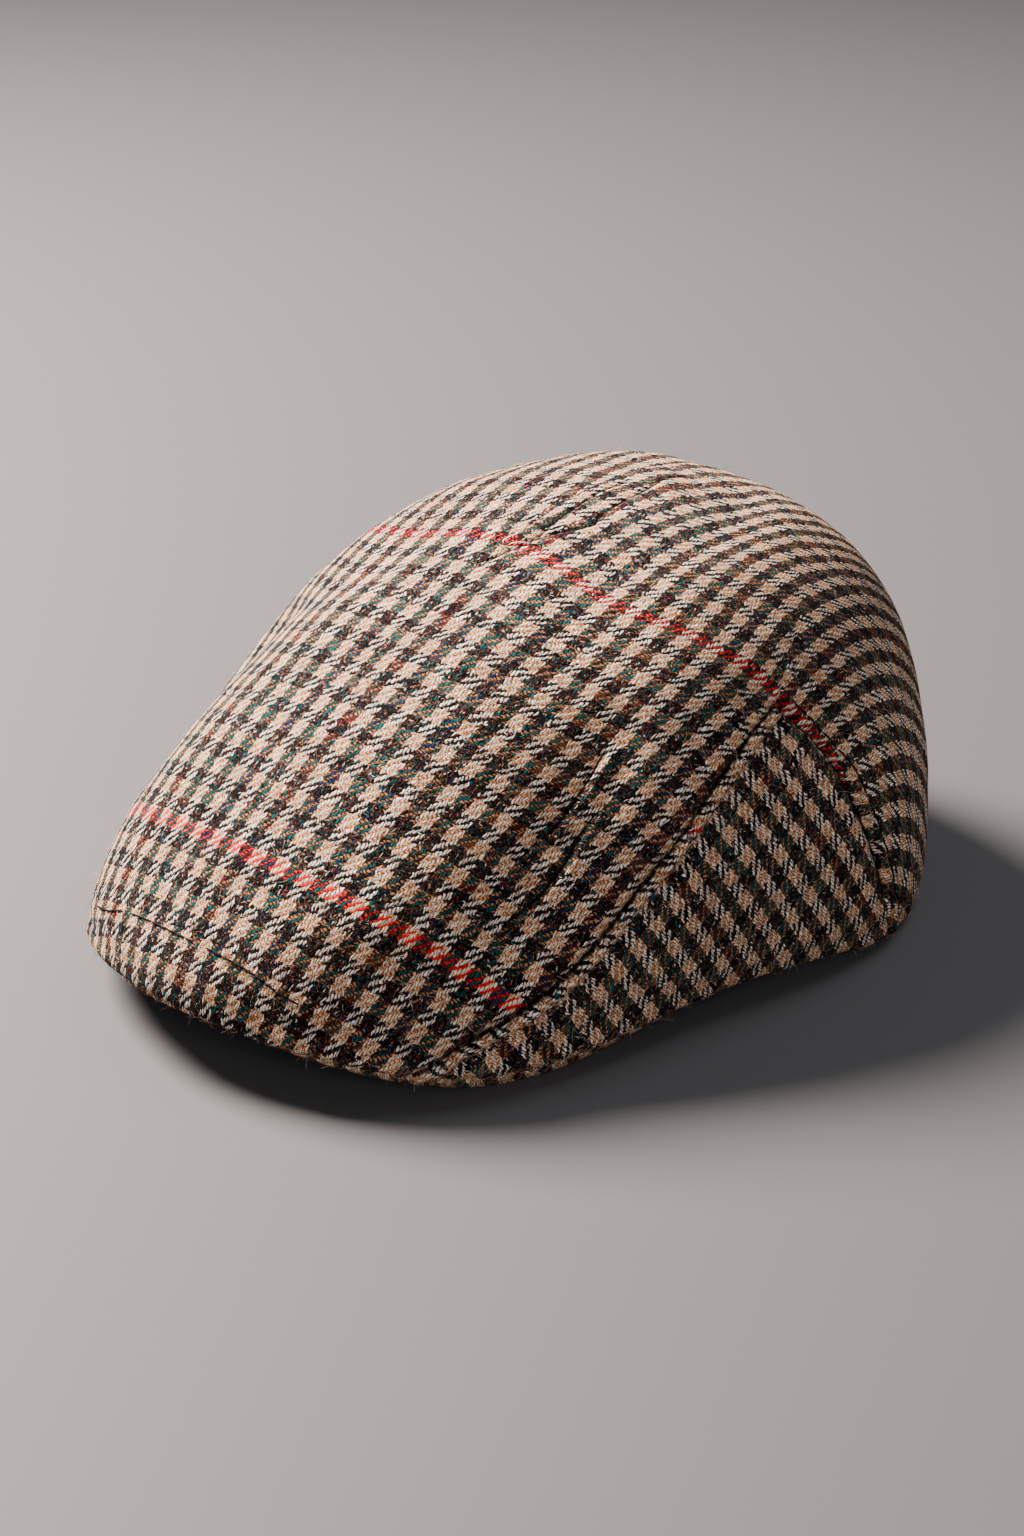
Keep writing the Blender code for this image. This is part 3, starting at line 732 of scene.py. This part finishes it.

    # Painted shade makes it dark between the floats, less so where both yarns are light. Each float has its
    # own tone, uneven along the yarn, and the cloth is paler in patches.
    painted_gap_shade = add(tree, "Math", {0: some_dark, 1: -0.50, 2: 0.52}, operation="MULTIPLY_ADD")
    # Painted shade: the tone drops towards the gap value where the float relief is low.
    tone = add(tree, "MapRange", {0: height, 1: 0.16, 2: 0.80, 3: painted_gap_shade, 4: 1.0})
    uneven = add(tree, "Math", {0: fibres, 1: MARK_TONE[1], 2: MARK_TONE[0]}, operation="MULTIPLY_ADD")
    tone = add(tree, "Math", {0: tone, 1: uneven}, operation="MULTIPLY")
    float_run = add(tree, "Mix", {0: warp_up, 4: runs[1], 5: runs[0]}, 1, data_type="VECTOR")
    float_tone = add(tree, "TexWhiteNoise", {"Vector": float_run})
    float_tone = add(tree, "Math", {0: float_tone, 1: FLOAT_TONE[1], 2: FLOAT_TONE[0]},
                     operation="MULTIPLY_ADD")
    tone = add(tree, "Math", {0: tone, 1: float_tone}, operation="MULTIPLY")
    worn = add(tree, "MapRange", {0: patches[1], 1: 0.35, 2: 0.65, 3: PATCH_TONE[0], 4: PATCH_TONE[1]})
    tone = add(tree, "Math", {0: tone, 1: worn}, operation="MULTIPLY")

    hue = add(tree, "Math", {0: blend[1], 1: 0.6}, operation="GREATER_THAN")
    peach_curl, grey_curl = (linear(code) for code in CURL_COLOURS)
    hue = add(tree, "Mix", {0: hue, 6: peach_curl, 7: grey_curl}, 2, data_type="RGBA")
    tone = add(tree, "Mix", {0: curls, 2: tone, 3: CURL_TONE}, data_type="FLOAT")
    curls = add(tree, "Math", {0: curls, 1: CURL_COVER}, operation="MULTIPLY")
    colour = add(tree, "Mix", {0: curls, 6: colour, 7: hue}, 2, data_type="RGBA")

    # Painted shade darkens the pressed lines and the seam, where the cloth turns under.
    line = add(tree, "UVMap", uv_map="line")
    line = add(tree, "VectorMath", {0: line}, 1, operation="LENGTH")
    line = add(tree, "Math", {0: line, 1: from_seam}, operation="MINIMUM")
    shade = add(tree, "MapRange", {0: line, 1: LINE_SHADE[0], 2: LINE_SHADE[1], 3: 0.05, 4: 1.0},
                interpolation_type="SMOOTHSTEP")
    tone = add(tree, "Math", {0: tone, 1: shade}, operation="MULTIPLY", use_clamp=True)
    colour = add(tree, "VectorMath", {0: colour, "Scale": tone}, operation="SCALE")
    tree.links.new(colour, shader.inputs["Base Color"])

    relief = add(tree, "Math", {0: fibres, 1: 0.5, 2: height}, operation="MULTIPLY_ADD")
    groove = add(tree, "MapRange", {0: line, 1: 0.0, 2: GROOVE[0], 3: -GROOVE[1], 4: 0.0},
                 interpolation_type="SMOOTHSTEP")
    relief = add(tree, "Math", {0: relief, 1: groove}, operation="ADD")
    bump = add(tree, "Bump", {"Strength": 1.0, "Distance": YARN_HEIGHT, "Height": relief})
    tree.links.new(bump, shader.inputs["Normal"])
    for socket, value in (("Roughness", 0.92), ("Specular IOR Level", 0.04), ("Sheen Weight", 0.02),
                          ("Sheen Roughness", 0.45), ("Sheen Tint", linear("FFF1E2"))):
        shader.inputs[socket].default_value = value
    return material


FRONT_STEPS = 200          # rows beside the front seam
BACK_STEPS = 100           # and beside the back seam
CENTRE_COLUMNS = 104       # in each half
SEAM_SINK = 0.0011         # the cloth dips this far into a seam
SEAM_ROLL = 0.0016         # over about this distance
PUCKER = 0.00022           # small ripples that the stitches draw in beside a seam
PUCKER_LENGTH = 0.0075     # from one ripple to the next
PUCKER_REACH = 0.006       # they fade out over about this distance
PUCKER_DRIFT = 0.03        # and their spacing changes over this one
SLACK = ((0.028, 0.0007), (0.011, 0.00028))  # size and height of the unevenness of unstiffened cloth
HALF_GAP = 0.00015         # half of the gap between two panels
CROWDING = 1.35            # power by which the grid's lines crowd towards the seam
EDGE_BEND_FADE = 4         # power by which the bend of the front and back edges fades out over the panel
FINE = 400                 # points on a line before it is divided evenly
LINE_STEPS = (120, 60)     # points on the front and the back seam that distances are measured from
DART_TIP = 0.22            # the dart starts this far in front of the summit, as a share of the section
LINE_SINK = 0.0006         # a dart or crease
LINE_ROLL = 0.0009
LIP_RISE = 0.0012          # the cloth folds over beside a crease
LIP_PLACE = 0.0020
LIP_ROLL = 0.0013
PUFF_RISE = 0.0008         # the turned edge behind the back seam is puffy
PUFF_PLACE = 0.0026
PUFF_ROLL = 0.0019
HEM_RISE = 0.0008          # the turned bottom edge is a soft roll
HEM_PLACE = 0.0024
HEM_ROLL = 0.0019
HEM_GROOVE = 0.0004        # with a shallow groove above it
HEM_GROOVE_PLACE = 0.0066
STITCH_SINK = 0.0006       # and drawn in along its row of stitches
STITCH_ROLL = 0.0011

centre_seam = seam(HALF_GAP, FRONT_STEPS, BACK_STEPS)
centre_v = np.linspace(0, 1, len(centre_seam))
centre_u = 1 - (1 - np.linspace(0, 1, CENTRE_COLUMNS + 1)) ** CROWDING
front_edge = edge_curve(TIP_ANGLE * centre_u)
back_edge = edge_curve(180 + (HEM_ANGLE - 180) * centre_u)
front_edge[-1] = centre_seam[0]
back_edge[-1] = centre_seam[-1]
middle_line = resample(np.linspace(front_edge[0], back_edge[0], FINE), centre_v)
half = patch(middle_line, centre_seam, front_edge, back_edge, centre_v, centre_u, EDGE_BEND_FADE)
centre_places = np.concatenate([half[:, ::-1] * [-1, 1], half], axis=1)
centre_base = cap_surface(centre_places)
centre_out = normals(cap_surface, centre_places)

# The flat cut of the panel gives the run of its yarns. It is slit from the dart's tip to the back hem.
half_base = centre_base[:, CENTRE_COLUMNS + 1:]
run_across = np.cumsum(np.linalg.norm(np.diff(half_base, axis=1, prepend=half_base[:, :1]), axis=2), axis=1)
run_along = np.repeat(run_length(half_base[:, 0])[:, None], run_across.shape[1], axis=1)
half_start = np.stack([run_across, run_along], -1)
half_flat = flat_cloth(half_base, half_start, folded=int((middle_line[:, 1] < -DART_TIP).sum()))

# The cloth was eased round the side panel's point when it was sewn in, so its yarns turn there and the
# upper red line runs down behind the seam. It also drifts back a little towards the sides.
WING_TURN = 0.229          # share by which angles round the point open up
WING_REACH = 0.105         # the turn fades out over this distance from the point
WING_FADE = 0.050          # and over this distance before the middle line
DRIFT = 0.080              # drift at the lower red line, as a share of the distance from the middle
DRIFT_GAIN = 1.96          # and what each metre along the panel adds to that share
DRIFT_START = 0.015        # the drift sets in about this far from the middle
DRIFT_END = 0.115          # and grows no more this far behind the lower red line
LOWER_RED = 0.0755         # the lower red line lies this far from the front edge, along the middle
BACK_EASE = 0.36
BACK_FADE = (0.020, 0.095) # which sets in and is full at these distances from the middle
from_middle = half_flat[..., 0].copy()
from_point = half_flat - half_flat[FRONT_STEPS, -1]
angle = np.degrees(np.arctan2(from_point[..., 1], from_point[..., 0])) % 360
angle = np.where(angle > 300, angle - 360, angle)
fade = eased(from_middle / WING_FADE) * soft(np.linalg.norm(from_point, axis=-1), WING_REACH)

# At 270 degrees, straight in front of the point, the cloth keeps its run.
turned = -np.radians(WING_TURN * (270 - angle) * fade)
half_flat = half_flat[FRONT_STEPS, -1] + np.stack(
    [np.cos(turned) * from_point[..., 0] - np.sin(turned) * from_point[..., 1],
     np.sin(turned) * from_point[..., 0] + np.cos(turned) * from_point[..., 1]], -1)
drift = DRIFT + DRIFT_GAIN * np.minimum(half_flat[..., 1] - LOWER_RED, DRIFT_END)
half_flat[..., 1] -= drift * (np.hypot(from_middle, DRIFT_START) - DRIFT_START)
upper_red = LOWER_RED + RED_EVERY * WEFT_PITCH
fade = eased((from_middle - BACK_FADE[0]) / (BACK_FADE[1] - BACK_FADE[0]))
half_flat[..., 1] -= BACK_EASE * fade * np.maximum(half_flat[..., 1] - upper_red, 0)
centre_flat = np.concatenate([half_flat[:, ::-1] * [-1, 1], half_flat], axis=1)

seam_lines = [cap_surface(seam(0.0, *LINE_STEPS) * [side, 1]) for side in (-1, 1)]
hem_line = cap_surface(edge_curve(np.linspace(-180, 180, 3 * 360 + 1)))


def cloth_relief(points, near, along, roll, seeds):
    """Relief of soft cloth that sinks and puckers at its seam and rolls at its turned bottom edge."""
    above, _ = distances(points, [hem_line])
    ripples = np.sin(2 * np.pi * along / PUCKER_LENGTH + 3 * unevenness(points, PUCKER_DRIFT, seeds[2]))
    slack = sum(height * unevenness(points, size, seed) for (size, height), seed in zip(SLACK, seeds))
    return (slack - SEAM_SINK * soft(near, roll) + PUCKER * ripples * np.exp(-near / PUCKER_REACH)
            + HEM_RISE * soft(above - HEM_PLACE, HEM_ROLL)
            - HEM_GROOVE * soft(above - HEM_GROOVE_PLACE, HEM_ROLL))


dart_lines = [cap_surface(on_disc(places)) for places in DART_LINES]
crease_lines = [cap_surface(on_disc(places)) for places in CREASE_LINES]
seam_near, seam_along = distances(centre_base, seam_lines)
line_place = from_lines(centre_base, centre_out, dart_lines + crease_lines)
line_near = np.linalg.norm(line_place, axis=-1)
crease_place = from_lines(centre_base, centre_out, crease_lines)
back_near, _ = distances(centre_base, [line[LINE_STEPS[0]:] for line in seam_lines])
stitch_near, _ = distances(centre_base, [cap_surface(on_disc(BACK_STITCHES, side)) for side in (-1, 1)])
relief = (cloth_relief(centre_base, seam_near, seam_along, SEAM_ROLL, (1, 2, 5))
          - LINE_SINK * soft(line_near, LINE_ROLL)
          + LIP_RISE * soft(crease_place[..., 0] - LIP_PLACE, LIP_ROLL) * soft(crease_place[..., 1], LIP_ROLL)
          + PUFF_RISE * soft(back_near - PUFF_PLACE, PUFF_ROLL)
          - STITCH_SINK * soft(stitch_near, STITCH_ROLL))
centre_outer = centre_base + centre_out * relief[..., None]
centre_outer[..., 2] = np.maximum(centre_outer[..., 2], 0)
centre_inner = centre_base - centre_out * CLOTH
centre_inner[-1, :, 2] = centre_outer[-1, :, 2]
centre_edge = np.stack([seam_near, seam_along], -1)

# The summit lies this far behind the middle of the cap's box.
summit = np.array([0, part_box("top_panel")[0].y - centre_base[..., 1].min(), 0])

centre_tweed = tweed("wool_tweed_centre", red_at=LOWER_RED)
centre_panel = cloth_mesh("centre_panel", centre_outer + summit, centre_inner + summit, centre_flat,
                          centre_edge, line_place, centre_tweed)
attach(centre_panel, "root")
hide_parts("top_panel")

# Side panels
# Two mirrored pieces of the same tweed, cut on the slant. Each rises to a point high on the side and runs
# forward as a narrow wedge over the peak's corner. The centre panel's edge is turned under and laps
# over them as a raised strip 3 mm wide, whose yarns run along it.
STRIP = 0.0030
STRIP_RISE = 0.0015
LAP_SHADE = 0.00018        # its free edge gets painted shade as if this far from a pressed line
GRAIN = math.radians(35)   # from the hem up to the weft
SIDE_ROWS = 110
SIDE_SEAM_ROLL = 0.0012    # beside the narrow strip the cloth dips over a shorter distance
SIDE_RED = 0.09            # place of a red line on the flat panel


def side_panel(name, side):
    """Side panel on the wearer's left for side 1, on the right for -1, laid out from its hem upwards."""
    whole = seam(-HALF_GAP, FRONT_STEPS, SIDE_ROWS)
    front = whole[:FRONT_STEPS + 1]
    behind = whole[FRONT_STEPS:]
    ends = np.degrees(np.arctan2(whole[[0, -1], 0], -whole[[0, -1], 1]))
    hem = resample(edge_curve(np.linspace(ends[0], ends[1], FINE)), np.linspace(0, 1, FRONT_STEPS + 1))
    front[0] = hem[0]
    behind[-1] = hem[-1]
    rows = 1 - (1 - np.linspace(0, 1, SIDE_ROWS + 1)) ** CROWDING
    rising = resample(behind[::-1], rows)
    places = patch(np.repeat(hem[:1], SIDE_ROWS + 1, axis=0), rising, hem, front, rows,
                   np.linspace(0, 1, FRONT_STEPS + 1)) * [side, 1]
    base = cap_surface(places)
    out = normals(cap_surface, places)
    start = np.stack([side * base[..., 1], base[..., 2]], -1)
    flat = flat_cloth(base, start)
    turn = GRAIN if side > 0 else math.pi - GRAIN
    slant = np.array([[math.cos(turn), -math.sin(turn)], [math.sin(turn), math.cos(turn)]])
    flat = flat @ slant

    # The right panel is cut a quarter turn round.
    if side < 0:
        flat = flat @ np.array([[0.0, 1.0], [-1.0, 0.0]])
    seam_line = seam_lines[0 if side < 0 else 1]
    near, along = distances(base, [seam_line])
    front_near, front_along = distances(base, [seam_line[:LINE_STEPS[0] + 1]])

    # The strip's section is half an oval. Its painted shade at the free edge is half as wide as a pressed
    # line's.
    lap = np.clip(1 - ((front_near - STRIP / 2) / (STRIP / 2)) ** 2, 0, 1) ** 0.5
    relief = cloth_relief(base, near, along, SIDE_SEAM_ROLL, (3, 4, 6)) + STRIP_RISE * lap
    outer = base + out * relief[..., None]
    outer[..., 2] = np.maximum(outer[..., 2], 0)
    inner = base - out * CLOTH
    inner[0, :, 2] = outer[0, :, 2]
    from_lap = np.stack([2 * (front_near - STRIP), np.full(front_near.shape, LAP_SHADE)], -1)
    from_back = np.stack([near, np.zeros(near.shape)], -1)
    lap_is_near = np.linalg.norm(from_lap, axis=-1) < near
    line = np.where(lap_is_near[..., None], from_lap, from_back)
    edge = np.stack([front_near, front_along], -1)
    if side < 0:
        outer, inner, flat, edge, line = (grid[:, ::-1] for grid in (outer, inner, flat, edge, line))
    cloth = tweed("wool_" + name, strip=STRIP, red_at=SIDE_RED)
    return cloth_mesh(name, outer + summit, inner + summit, flat, edge, line, cloth)


side_panels = []
for side_name, side in (("side_panel_left", 1), ("side_panel_right", -1)):
    panel = side_panel("tweed_" + side_name, side)
    side_panels.append(panel)
    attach(panel, "root")
    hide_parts(side_name)

# Peak
# A stiff board covered in the same tweed on both faces, sewn under the front of the panels. Its own cloth
# wraps round the edge and shows as a low strip at the corners.
PEAK_DEPTH = 0.053         # from the edge to the forehead, at the middle
PEAK_THICKNESS = 0.0035    # board with its cloth
PEAK_RISE = 0.031          # the forehead edge lies this far above the peak's edge, at the middle
PEAK_GAP = 0.0004          # clearance between the peak and the panels over it
LAP = 0.012                # the peak follows the panels over it for this far, at the middle
PEAK_END_ANGLE = 60.0
PEAK_COLUMNS = 120         # in each half
PEAK_STEP = 0.0009         # length of the parts that its section is cut into
PEAK_RED = 0.1             # place of a red line on its flat cloth
PeakSection = namedtuple("PeakSection", "angle depth rise")
PEAK_SECTIONS = (
    PeakSection(0, 1.00, 1.00),
    PeakSection(16, 0.97, 0.95),
    PeakSection(32, 0.84, 0.80),
    PeakSection(46, 0.56, 0.55),
    PeakSection(58, 0.30, 0.30),
    PeakSection(64, 0.22, 0.20),
)

peak_half = np.linspace(0, 1, PEAK_COLUMNS + 1)[1:] * PEAK_END_ANGLE
peak_angles = np.concatenate([-peak_half[::-1], [0], peak_half])
peak_low = hem_height(peak_angles)
peak_depth = np.interp(np.abs(peak_angles), column(PEAK_SECTIONS, "angle"), column(PEAK_SECTIONS, "depth"))
peak_rise = np.interp(np.abs(peak_angles), column(PEAK_SECTIONS, "angle"), column(PEAK_SECTIONS, "rise"))
strip_up = panel_edge_up(peak_angles) - PEAK_GAP / climb(peak_angles)
lap_up = panel_edge_up(peak_angles) + LAP * peak_depth / climb(peak_angles)


def under_panels(up, depth):
    spot = flat_place(peak_angles, up)
    return cap_surface(spot) - normals(cap_surface, spot) * depth


covered = CLOTH + PEAK_GAP
peak_rim = cap_surface(flat_place(peak_angles, np.zeros(len(peak_angles))))
peak_strip = cap_surface(flat_place(peak_angles, strip_up))
peak_ledge = under_panels(strip_up, covered)
peak_ledge[:, 2] = peak_strip[:, 2]
inward = -peak_rim * [1, 1, 0]
inward = inward / np.linalg.norm(inward, axis=1, keepdims=True)
forehead = peak_rim + inward * (PEAK_DEPTH * peak_depth)[:, None]
forehead[:, 2] = peak_low + PEAK_RISE * peak_rise
heel = peak_rim + inward * (covered + PEAK_THICKNESS)
drop = np.array([0, 0, PEAK_THICKNESS])
peak_loop = np.stack([peak_rim, peak_strip, peak_ledge, under_panels(lap_up, covered), forehead,
                      forehead - drop, under_panels(lap_up, covered + PEAK_THICKNESS), heel], 1)

# Each side of the loop is cut into short lengths, and its corners are rounded by averaging.
peak_next = np.roll(peak_loop, -1, axis=1)
peak_widths = np.linalg.norm(peak_next - peak_loop, axis=2).mean(axis=0)
peak_shares = np.concatenate([k + np.linspace(0, 1, max(2, int(width / PEAK_STEP)), endpoint=False)
                              for k, width in enumerate(peak_widths)])
whole = np.floor(peak_shares).astype(int)
part = (peak_shares - whole)[None, :, None]
rings = peak_loop[:, whole] * (1 - part) + peak_next[:, whole] * part
for _ in range(2):
    rings = 0.5 * rings + 0.25 * np.roll(rings, 1, axis=1) + 0.25 * np.roll(rings, -1, axis=1)

peak_mesh = bmesh.new()
cloth_layer, edge_layer, line_layer = (peak_mesh.loops.layers.uv.new(layer) for layer in CLOTH_LAYERS)
peak_vertices = [[peak_mesh.verts.new(point + summit) for point in ring] for ring in rings]
peak_run = run_length(peak_rim)
ring_steps = np.linalg.norm(np.roll(rings, -1, axis=1) - rings, axis=2).mean(axis=0)
section_run = np.concatenate([[0], np.cumsum(ring_steps)])
for a in range(len(rings) - 1):
    for b in range(rings.shape[1]):
        places = ((a, b), (a, b + 1), (a + 1, b + 1), (a + 1, b))
        made = peak_mesh.faces.new([peak_vertices[m][n % rings.shape[1]] for m, n in places])
        made.smooth = True
        for loop, (m, n) in zip(made.loops, places):
            loop[cloth_layer].uv = (peak_run[m], section_run[n])
for ring in (peak_vertices[0], peak_vertices[-1]):
    for loop in peak_mesh.faces.new(ring).loops:
        loop[cloth_layer].uv = (loop.vert.co.y, loop.vert.co.z)
for made in peak_mesh.faces:
    for loop in made.loops:
        loop[edge_layer].uv = FAR_OFF
        loop[line_layer].uv = FAR_OFF
bmesh.ops.recalc_face_normals(peak_mesh, faces=peak_mesh.faces)
peak = mesh_object("peak_covered", peak_mesh, tweed("wool_tweed_peak", red_at=PEAK_RED))
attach(peak, "root")
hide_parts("peak")

# Top stitches
# Black spun sewing thread in stitches about 3 mm long. One row behind each back seam holds the turned edge
# down, and one across the front holds the centre panel to the peak. Each stitch dips into the soft cloth.
THREAD_WIDTH = 0.00052
THREAD_SIDES = 6
STITCH_LENGTH = 0.0033
STITCH_RISE = 0.00024      # the middle of a stitch stands out by this much
STITCH_DIP = 0.00055       # and its ends lie this much lower
STITCH_SHARPNESS = 8       # the higher, the shorter the dip between two stitches
STITCH_HIDDEN = 0.0009     # where the fuzz swallows a stitch, it lies this much lower
FUZZ_RUN = 0.009           # the fuzz varies over about this length of a row
THREAD_COLOURS = ("020202", "100E12")
THREAD_FIBRES = 6000.0     # to a metre, in the thread's fuzz
THREAD_FUZZ = 0.00004      # and how far they stand out
ASKEW = (0.36, 0.48, 0.80)  # hardly any thread or fibre runs this way


def tubes(name, paths, width, sides, material, tones=None):
    """One mesh of thin tubes with closed ends, each along its own path, and with its own tone."""
    around = np.linspace(0, 2 * np.pi, sides, endpoint=False)[None, :, None]
    vertices, faces, tone = [], [], []
    for number, path in enumerate(paths):
        forward = np.gradient(path, axis=0)
        side = np.cross(forward, ASKEW)
        side /= np.linalg.norm(side, axis=1, keepdims=True)
        up = np.cross(forward, side)
        up /= np.linalg.norm(up, axis=1, keepdims=True)
        rings = path[:, None] + width / 2 * (np.cos(around) * side[:, None] + np.sin(around) * up[:, None])
        first = len(vertices)
        last = first + (len(path) - 1) * sides
        vertices.extend(rings.reshape(-1, 3).tolist())
        for ring in range(first, last, sides):
            for k in range(sides):
                after = (k + 1) % sides
                faces.append((ring + k, ring + after, ring + sides + after, ring + sides + k))
        faces.append(tuple(range(first + sides - 1, first - 1, -1)))
        faces.append(tuple(range(last, last + sides)))
        tone += [0.0 if tones is None else float(tones[number])] * (len(path) * sides)
    data = bpy.data.meshes.new(name)
    data.from_pydata(vertices, [], faces)
    data.attributes.new("tone", "FLOAT", "POINT").data.foreach_set("value", tone)
    data.materials.append(material)
    data.shade_smooth()
    piece = bpy.data.objects.new(name, data)
    bpy.context.collection.objects.link(piece)
    return piece


# Spun polyester thread: short black fibres twisted together, so it is dull, with a little fuzz.
thread = bpy.data.materials.new("spun_black_thread")
thread.use_nodes = True
thread_tree = thread.node_tree
thread_shader = thread_tree.nodes["Principled BSDF"]
thread_spot = add(thread_tree, "TexCoord", (), 3)
thread_fuzz = add(thread_tree, "TexNoise", {"Vector": thread_spot, "Scale": THREAD_FIBRES, "Detail": 2.0})
thread_dark, thread_pale = (linear(code) for code in THREAD_COLOURS)
thread_tone = add(thread_tree, "Mix", {0: thread_fuzz, 6: thread_dark, 7: thread_pale}, 2, data_type="RGBA")
thread_bump = add(thread_tree, "Bump", {"Strength": 0.5, "Distance": THREAD_FUZZ, "Height": thread_fuzz})
thread_tree.links.new(thread_tone, thread_shader.inputs["Base Color"])
thread_tree.links.new(thread_bump, thread_shader.inputs["Normal"])
thread_shader.inputs["Roughness"].default_value = 0.7
thread_shader.inputs["Specular IOR Level"].default_value = 0.08

bpy.context.view_layer.update()
cloth_face = BVHTree.FromObject(centre_panel, bpy.context.evaluated_depsgraph_get())

# swallowed is how much of a row the fuzz swallows at the most.
StitchRow = namedtuple("StitchRow", "name curve swallowed")
for stitches in (
    StitchRow("back_stitches_left", on_disc(BACK_STITCHES), 0.2),
    StitchRow("back_stitches_right", on_disc(BACK_STITCHES, -1), 0.2),
    StitchRow("peak_stitches", on_disc(PEAK_STITCHES), 1.2),
):
    row_line = dense(cap_surface(stitches.curve) + summit, THREAD_WIDTH)
    row_path = []
    for spot, run in zip(row_line, run_length(row_line)):
        on_cloth, outward = cloth_face.find_nearest(Vector(spot))[:2]
        dip = (0.5 + 0.5 * math.cos(2 * math.pi * run / STITCH_LENGTH)) ** STITCH_SHARPNESS
        hidden = max(0.0, noise.noise(Vector((run / FUZZ_RUN, 0.3, 0.7)))) * stitches.swallowed
        row_path.append(on_cloth + outward * (STITCH_RISE - STITCH_DIP * dip - STITCH_HIDDEN * hidden))
    row = tubes(stitches.name, [np.array(row_path)], THREAD_WIDTH, THREAD_SIDES, thread)
    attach(row, "root")

# Loose fibres
# Short ends of wool that have worked out of the yarns. They lie over the weave in all directions and make
# its edge against the background soft. They are drawn twice as thick as wool, or they wouldn't show.
FIBRE_WIDTH = 0.000055
FIBRE_LENGTHS = (0.00096, 0.00312)
FIBRE_BEND = 0.5           # most bend sideways by less than this share of their length
FIBRE_LIFT = 0.00032       # how far many of them stand out
LIFT_SPREAD = 1.5          # shape of its gamma spread
ENDS_UP = 0.4              # share of them that stand up at one end, while the others arch
STANDING = 1.6             # and those rise this much higher
FIBRE_POINTS = 4
FIBRE_SIDES = 3
HEM_FACING = -0.15         # the cloth's normals point down by more than this at the turned hems
HEM_SHARE = 8.0            # which have this many times more of them
FIBRE_COLOURS = (Stop(0.0, "E8CDB4"), Stop(0.36, "C08C64"), Stop(0.60, "2A1A1A"), Stop(0.84, "0C4C50"),
                 Stop(0.92, "8C4A2C"))
FibreShare = namedtuple("FibreShare", "panel slot count")

# Wool fibre: dull, and each in the colour of one of the yarns.
wool = bpy.data.materials.new("loose_wool_fibre")
wool.use_nodes = True
wool_tree = wool.node_tree
wool_shader = wool_tree.nodes["Principled BSDF"]
wool_tone = add(wool_tree, "Attribute", (), 2, attribute_name="tone")
wool_ramp = add(wool_tree, "ValToRGB", {0: wool_tone})
wool_ramp.node.color_ramp.interpolation = "CONSTANT"
wool_stops = wool_ramp.node.color_ramp.elements
while len(wool_stops) < len(FIBRE_COLOURS):
    wool_stops.new(0.5)
for element, stop in zip(wool_stops, FIBRE_COLOURS):
    element.position = stop.at
    element.color = linear(stop.colour)
wool_tree.links.new(wool_ramp, wool_shader.inputs["Base Color"])
wool_shader.inputs["Roughness"].default_value = 0.9
wool_shader.inputs["Specular IOR Level"].default_value = 0.1

chance = np.random.default_rng(11)
for share in (
    FibreShare(centre_panel, "tweed_centre", 3300),
    FibreShare(side_panels[0], "tweed_side", 800),
    FibreShare(side_panels[1], "tweed_side", 800),
    FibreShare(peak, "tweed_peak", 500),
):
    roots = np.array([vertex.co for vertex in share.panel.data.vertices])
    outward = np.array([vertex.normal for vertex in share.panel.data.vertices])
    odds = np.where(outward[:, 2] < HEM_FACING, HEM_SHARE, 1.0)
    picked = chance.choice(len(roots), share.count, p=odds / odds.sum())
    roots = roots[picked][:, None]
    outward = outward[picked][:, None]
    count = (share.count, 1, 1)
    flat_way = np.cross(outward, chance.normal(size=(share.count, 1, 3)))
    flat_way /= np.linalg.norm(flat_way, axis=-1, keepdims=True)
    length = chance.uniform(*FIBRE_LENGTHS, count)
    bend = np.cross(outward, flat_way) * chance.normal(0, FIBRE_BEND, count)
    lift = FIBRE_LIFT * chance.gamma(LIFT_SPREAD, 1.0, count)
    ends_up = chance.random(count) < ENDS_UP
    along = np.linspace(0, 1, FIBRE_POINTS)[None, :, None]
    arch = np.where(ends_up, along * STANDING, np.sin(np.pi * along))
    paths = (roots + outward * (lift * arch - FIBRE_WIDTH) + flat_way * length * along
             + bend * length * along ** 2)
    paths[..., 2] = np.maximum(paths[..., 2], cad_low[2] + FIBRE_WIDTH)
    tones = chance.random(share.count)
    fibres = tubes("fibres_" + share.panel.name, paths, FIBRE_WIDTH, FIBRE_SIDES, wool, tones)
    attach(fibres, "root")
